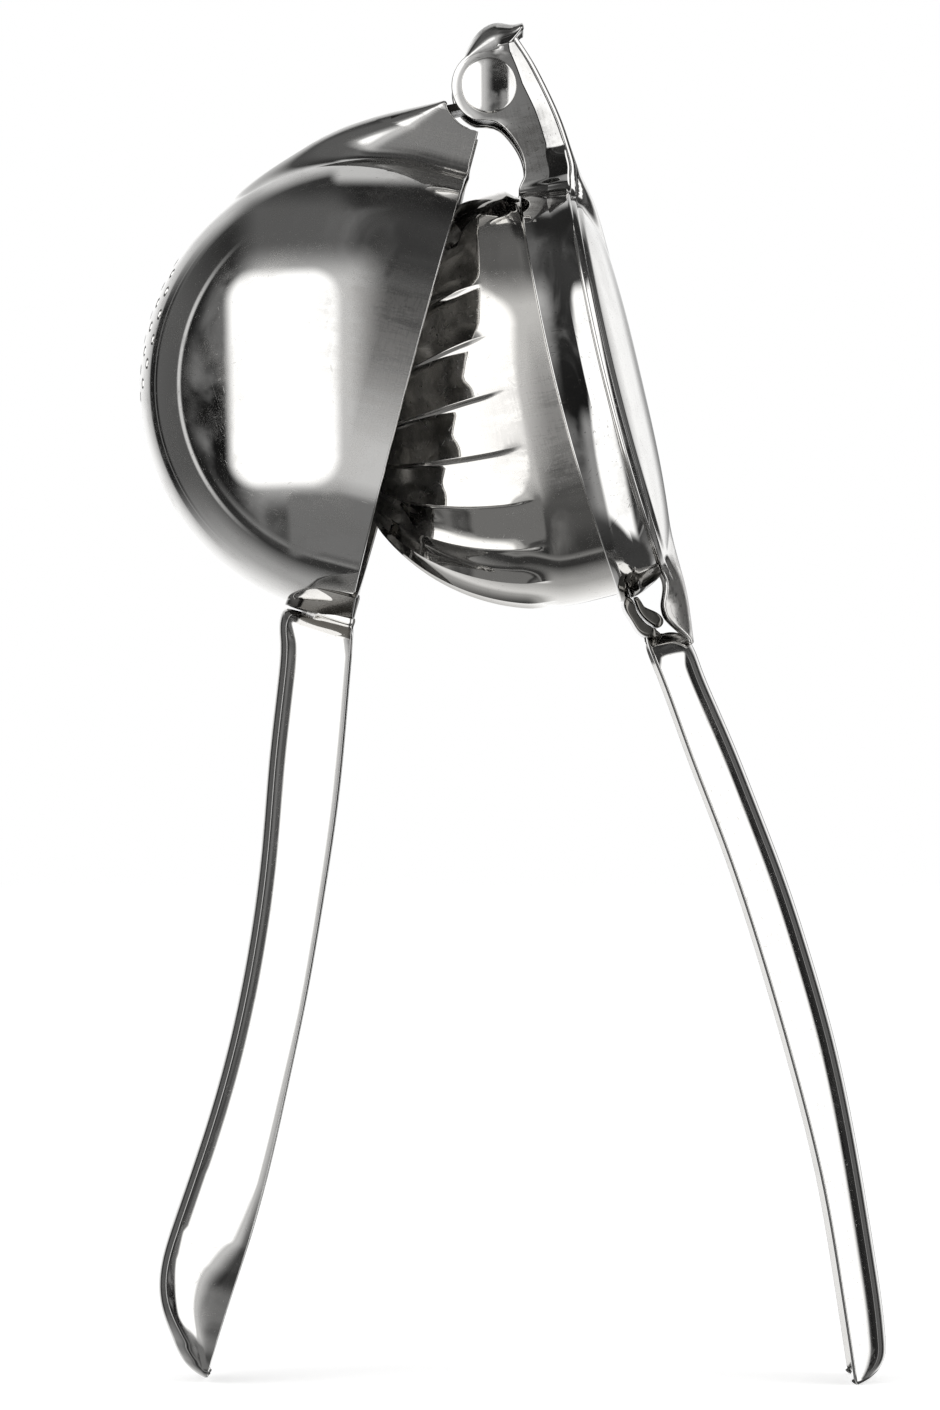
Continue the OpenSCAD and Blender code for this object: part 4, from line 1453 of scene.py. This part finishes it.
        path = node("LightPath").outputs
        mirrored = node("Math", {
            0: path["Is Glossy Ray"], 1: path["Is Transmission Ray"]}, operation="MAXIMUM")
        seen = node("Mix", {0: mirrored, 6: grey(self.level), 7: light}, **blend).outputs[2]
        seen = node("Mix", {0: path["Is Camera Ray"], 6: seen, 7: grey(1)}, **blend).outputs[2]
        back = node("Background", {"Color": seen, "Strength": 1.0})
        node("OutputWorld", {"Surface": back})

    def floor(self) -> None:
        """A pale floor at the object's foot, white to the camera and darker only in shadow."""
        mesh = bpy.data.meshes.new("studio_floor")
        side = self.span
        corners = [(-side, -side, 0), (side, -side, 0), (side, side, 0), (-side, side, 0)]
        mesh.from_pydata(corners, [], [(0, 1, 2, 3)])
        floor = bpy.data.objects.new("studio_floor", mesh)
        bpy.context.scene.collection.objects.link(floor)
        made = bpy.data.materials.new("white_paper_sweep")
        made.use_nodes = True
        tree = made.node_tree
        tree.nodes.clear()
        node = partial(add, tree)
        paper = node("BsdfDiffuse", {"Color": linear("#f4f4f4")})
        glow = node("Emission", {"Strength": self.glow})
        both = node("AddShader", {0: paper, 1: glow})
        path = node("LightPath").outputs
        seen = node("MixShader", {0: path["Is Camera Ray"], 1: paper, 2: both})
        node("OutputMaterial", {"Surface": seen})
        mesh.materials.append(made)
        floor.visible_glossy = False

    def lamps(self) -> None:
        """Two large soft lamps that give the floor its light and shadow."""
        aim = Vector((0, 0, 0.1))
        for name, place, power in (("softbox_left", (-0.9, -0.7, 1.1), 3.2),
                                   ("softbox_right", (0.9, -0.5, 1.0), 2.4)):
            light = bpy.data.lights.new(name, "AREA")
            light.shape = "SQUARE"
            light.size = 0.9
            light.energy = power
            lamp = bpy.data.objects.new(name, light)
            lamp.location = place
            lamp.rotation_euler = (aim - Vector(place)).to_track_quat("-Z", "Y").to_euler()
            lamp.visible_glossy = False
            bpy.context.scene.collection.objects.link(lamp)

    def camera(self) -> None:
        """A level camera in front of the hinge plane, with the frame's long side upright."""
        data = bpy.data.cameras.new("camera")
        data.sensor_fit = "VERTICAL"
        data.sensor_height = self.sensor
        data.lens = self.sensor * -self.eye[1] / self.view
        data.dof.use_dof = False
        data.clip_start, data.clip_end = 0.05, 20
        eye = bpy.data.objects.new("camera", data)
        eye.location = [v * MM for v in self.eye]
        eye.rotation_euler = (math.pi / 2, 0, 0)
        bpy.context.scene.collection.objects.link(eye)
        bpy.context.scene.camera = eye


# ---------------------------------------------------------------- finishes of this object

# Deep-drawn shell, buffed outside to a mirror that washing and stacking have scuffed.
SHELL = Steel(
    "polished_stainless_shell", lay=-14.84, scuffed=0.3, film=0.02, spacing=0.4, dull=0.28,
    rubs=(Rub((-17.0, -34.0, 163.0), 19.0, 1.1), Rub((-12.0, -8.0, 193.0), 12.0, 0.6)))
# Inside of a drawn shell: tumbled satin steel, never buffed.
INSIDE = Steel(
    "satin_stainless_inside", colour="#c6c5c3", haze="#bab9b7", gloss=0.12, dull=0.3, film=0.4,
    scuffed=0.2, depth=0.0004)
# Buffed trays of the handles, kept clean by the hand.
TRAY = Steel("polished_stainless_tray", scuffed=0.12, film=0.03, depth=0.0006)
# Buffed stamping, dulled by tumbling and rubbed round the pin and on its cap.
STAMPING = Steel(
    "polished_stainless_stamping", lay=14.0, scuffed=0.2, film=0.02, haze="#74726f",
    rubs=(Rub((0.5, -9.0, 196.0), 10.0, 0.7), Rub((-2.9, -3.0, 214.5), 7.0, 0.8)))
# Pressed dome, polished and worn on its plain band.
DOME = Steel(
    "polished_stainless_dome", lay=14.0, scuffed=0.14, film=0.02, spacing=0.3, colour="#e3e1dd",
    rubs=(Rub((7.0, -32.0, 153.0), 16.0, 1.4),))
# Buffed cover plate, rubbed where its tail meets the handle.
COVER = Steel(
    "polished_stainless_cover", lay=14.0, scuffed=0.12, film=0.03, depth=0.0006,
    rubs=(Rub((26.5, 0.0, 122.0), 15.0, 2.0),))
# Folded strap: brushed, with its colour darkened to grey as painted shade of its recess between
# cover and handle, so it reflects less.
STRAP = Steel(
    "painted_shade_stainless_strap", grain=Grain.BRUSHED, gloss=0.09, dull=0.3, film=0.12,
    scuffed=0.15, colour="#85837f", haze="#7a7874", depth=0.002)
# Saddle under the bowl: the same strip, its colour darkened as painted shade of the gap between
# bowl and handle.
SADDLE = replace(STRAP, name="painted_shade_stainless_saddle", colour="#5b5955", haze="#4d4b48")
# Knuckle inside the neck: colour darkened nearly to black as painted shade of the hollow neck,
# rough and never polished.
KNUCKLE = Steel(
    "painted_shade_steel_knuckle", grain=Grain.BRUSHED, gloss=0.2, dull=0.45, film=0.4,
    scuffed=0.3, colour="#3c3a38", haze="#32302e", depth=0.003)
# Rivet turned on a lathe, so its marks run round its middle.
RIVET = Steel(
    "turned_stainless_rivet", grain=Grain.TURNED, film=0.1, scuffed=0.3, spacing=0.45,
    depth=0.0016)


def dress(
    skin: Skin, name: str, finishes: Sequence[Steel], body: str, slot: str, *nodes: str
) -> None:
    """Makes a piece with its finishes, its body and the nodes that it stands for.

    Args:
        skin: the closed skin of the piece.
        name: name of the new object.
        finishes: that of its outer face and edges, and that of its inner face if it differs.
        body: name of the body that it moves with.
        slot: not used.
        nodes: names of the frame's nodes that it replaces.
    """
    piece = skin.to_object(name, [finish.material() for finish in finishes])
    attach(piece, body)
    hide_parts(*nodes)
    LOG.info("%s: %d faces", name, len(piece.data.polygons))


def main() -> None:
    """Builds the studio, then each piece in its order, and reports them."""
    logging.basicConfig(level=logging.INFO, format="%(name)s %(message)s")
    bpy.context.scene.view_settings.view_transform = "Standard"
    studio = Studio()
    studio.room()
    studio.floor()
    studio.lamps()
    studio.camera()
    low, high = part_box("pin_washer")
    pin = ((low.x + high.x) / 2 / MM, (low.z + high.z) / 2 / MM)
    bowl = BowlArm(Arm("bowl_arm", 14.84, -1, pin))
    press = PressArm(Arm("press_arm", 14.0, 1, pin))
    hinge = Hinge(press.arm)
    shell, tray = (SHELL, INSIDE), (TRAY, INSIDE)
    pinned = (replace(RIVET, centre=(pin[0], 0.0, pin[1])),)
    pieces = (
        (bowl, bowl.skin(), "strainer_bowl_skin", shell, "polished_shell", "strainer_bowl"),
        (bowl, bowl.saddle(), "bowl_saddle", (SADDLE,), "plain_steel", "bowl_tang"),
        (bowl, bowl.handle().skin(bowl.arm), "bowl_handle_tray", tray, "polished_handle",
         "bowl_handle"),
        (press, press.frame(), "press_stamping", (STAMPING,), "polished_frame", "press_frame"),
        (press, press.fluted_dome(), "press_dome_skin", (DOME,), "fluted_dome", "press_dome"),
        (press, press.cover(), "back_cover_skin", (COVER,), "polished_shell", "back_cover"),
        (press, press.strap(), "press_strap", (STRAP,), "plain_steel", "press_tang"),
        (press, press.handle().skin(press.arm), "press_handle_tray", tray, "polished_handle",
         "press_handle"),
        (hinge, hinge.rivet(), "hinge_rivet", pinned, "rivet_steel", "hinge_pin"),
        (hinge, hinge.washer(), "rivet_washer", pinned, "rivet_steel", "pin_washer"),
    )
    for part, skin, name, finishes, slot, node in pieces:
        dress(skin, name, finishes, part.arm.body, slot, node)
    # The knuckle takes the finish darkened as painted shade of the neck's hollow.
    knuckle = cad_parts["bowl_knuckle"]
    knuckle.data.materials.clear()
    knuckle.data.materials.append(KNUCKLE.material())
    LOG.info("bowl_knuckle: the frame's own mesh in %s", KNUCKLE.name)


if __name__ == "__main__":
    main()
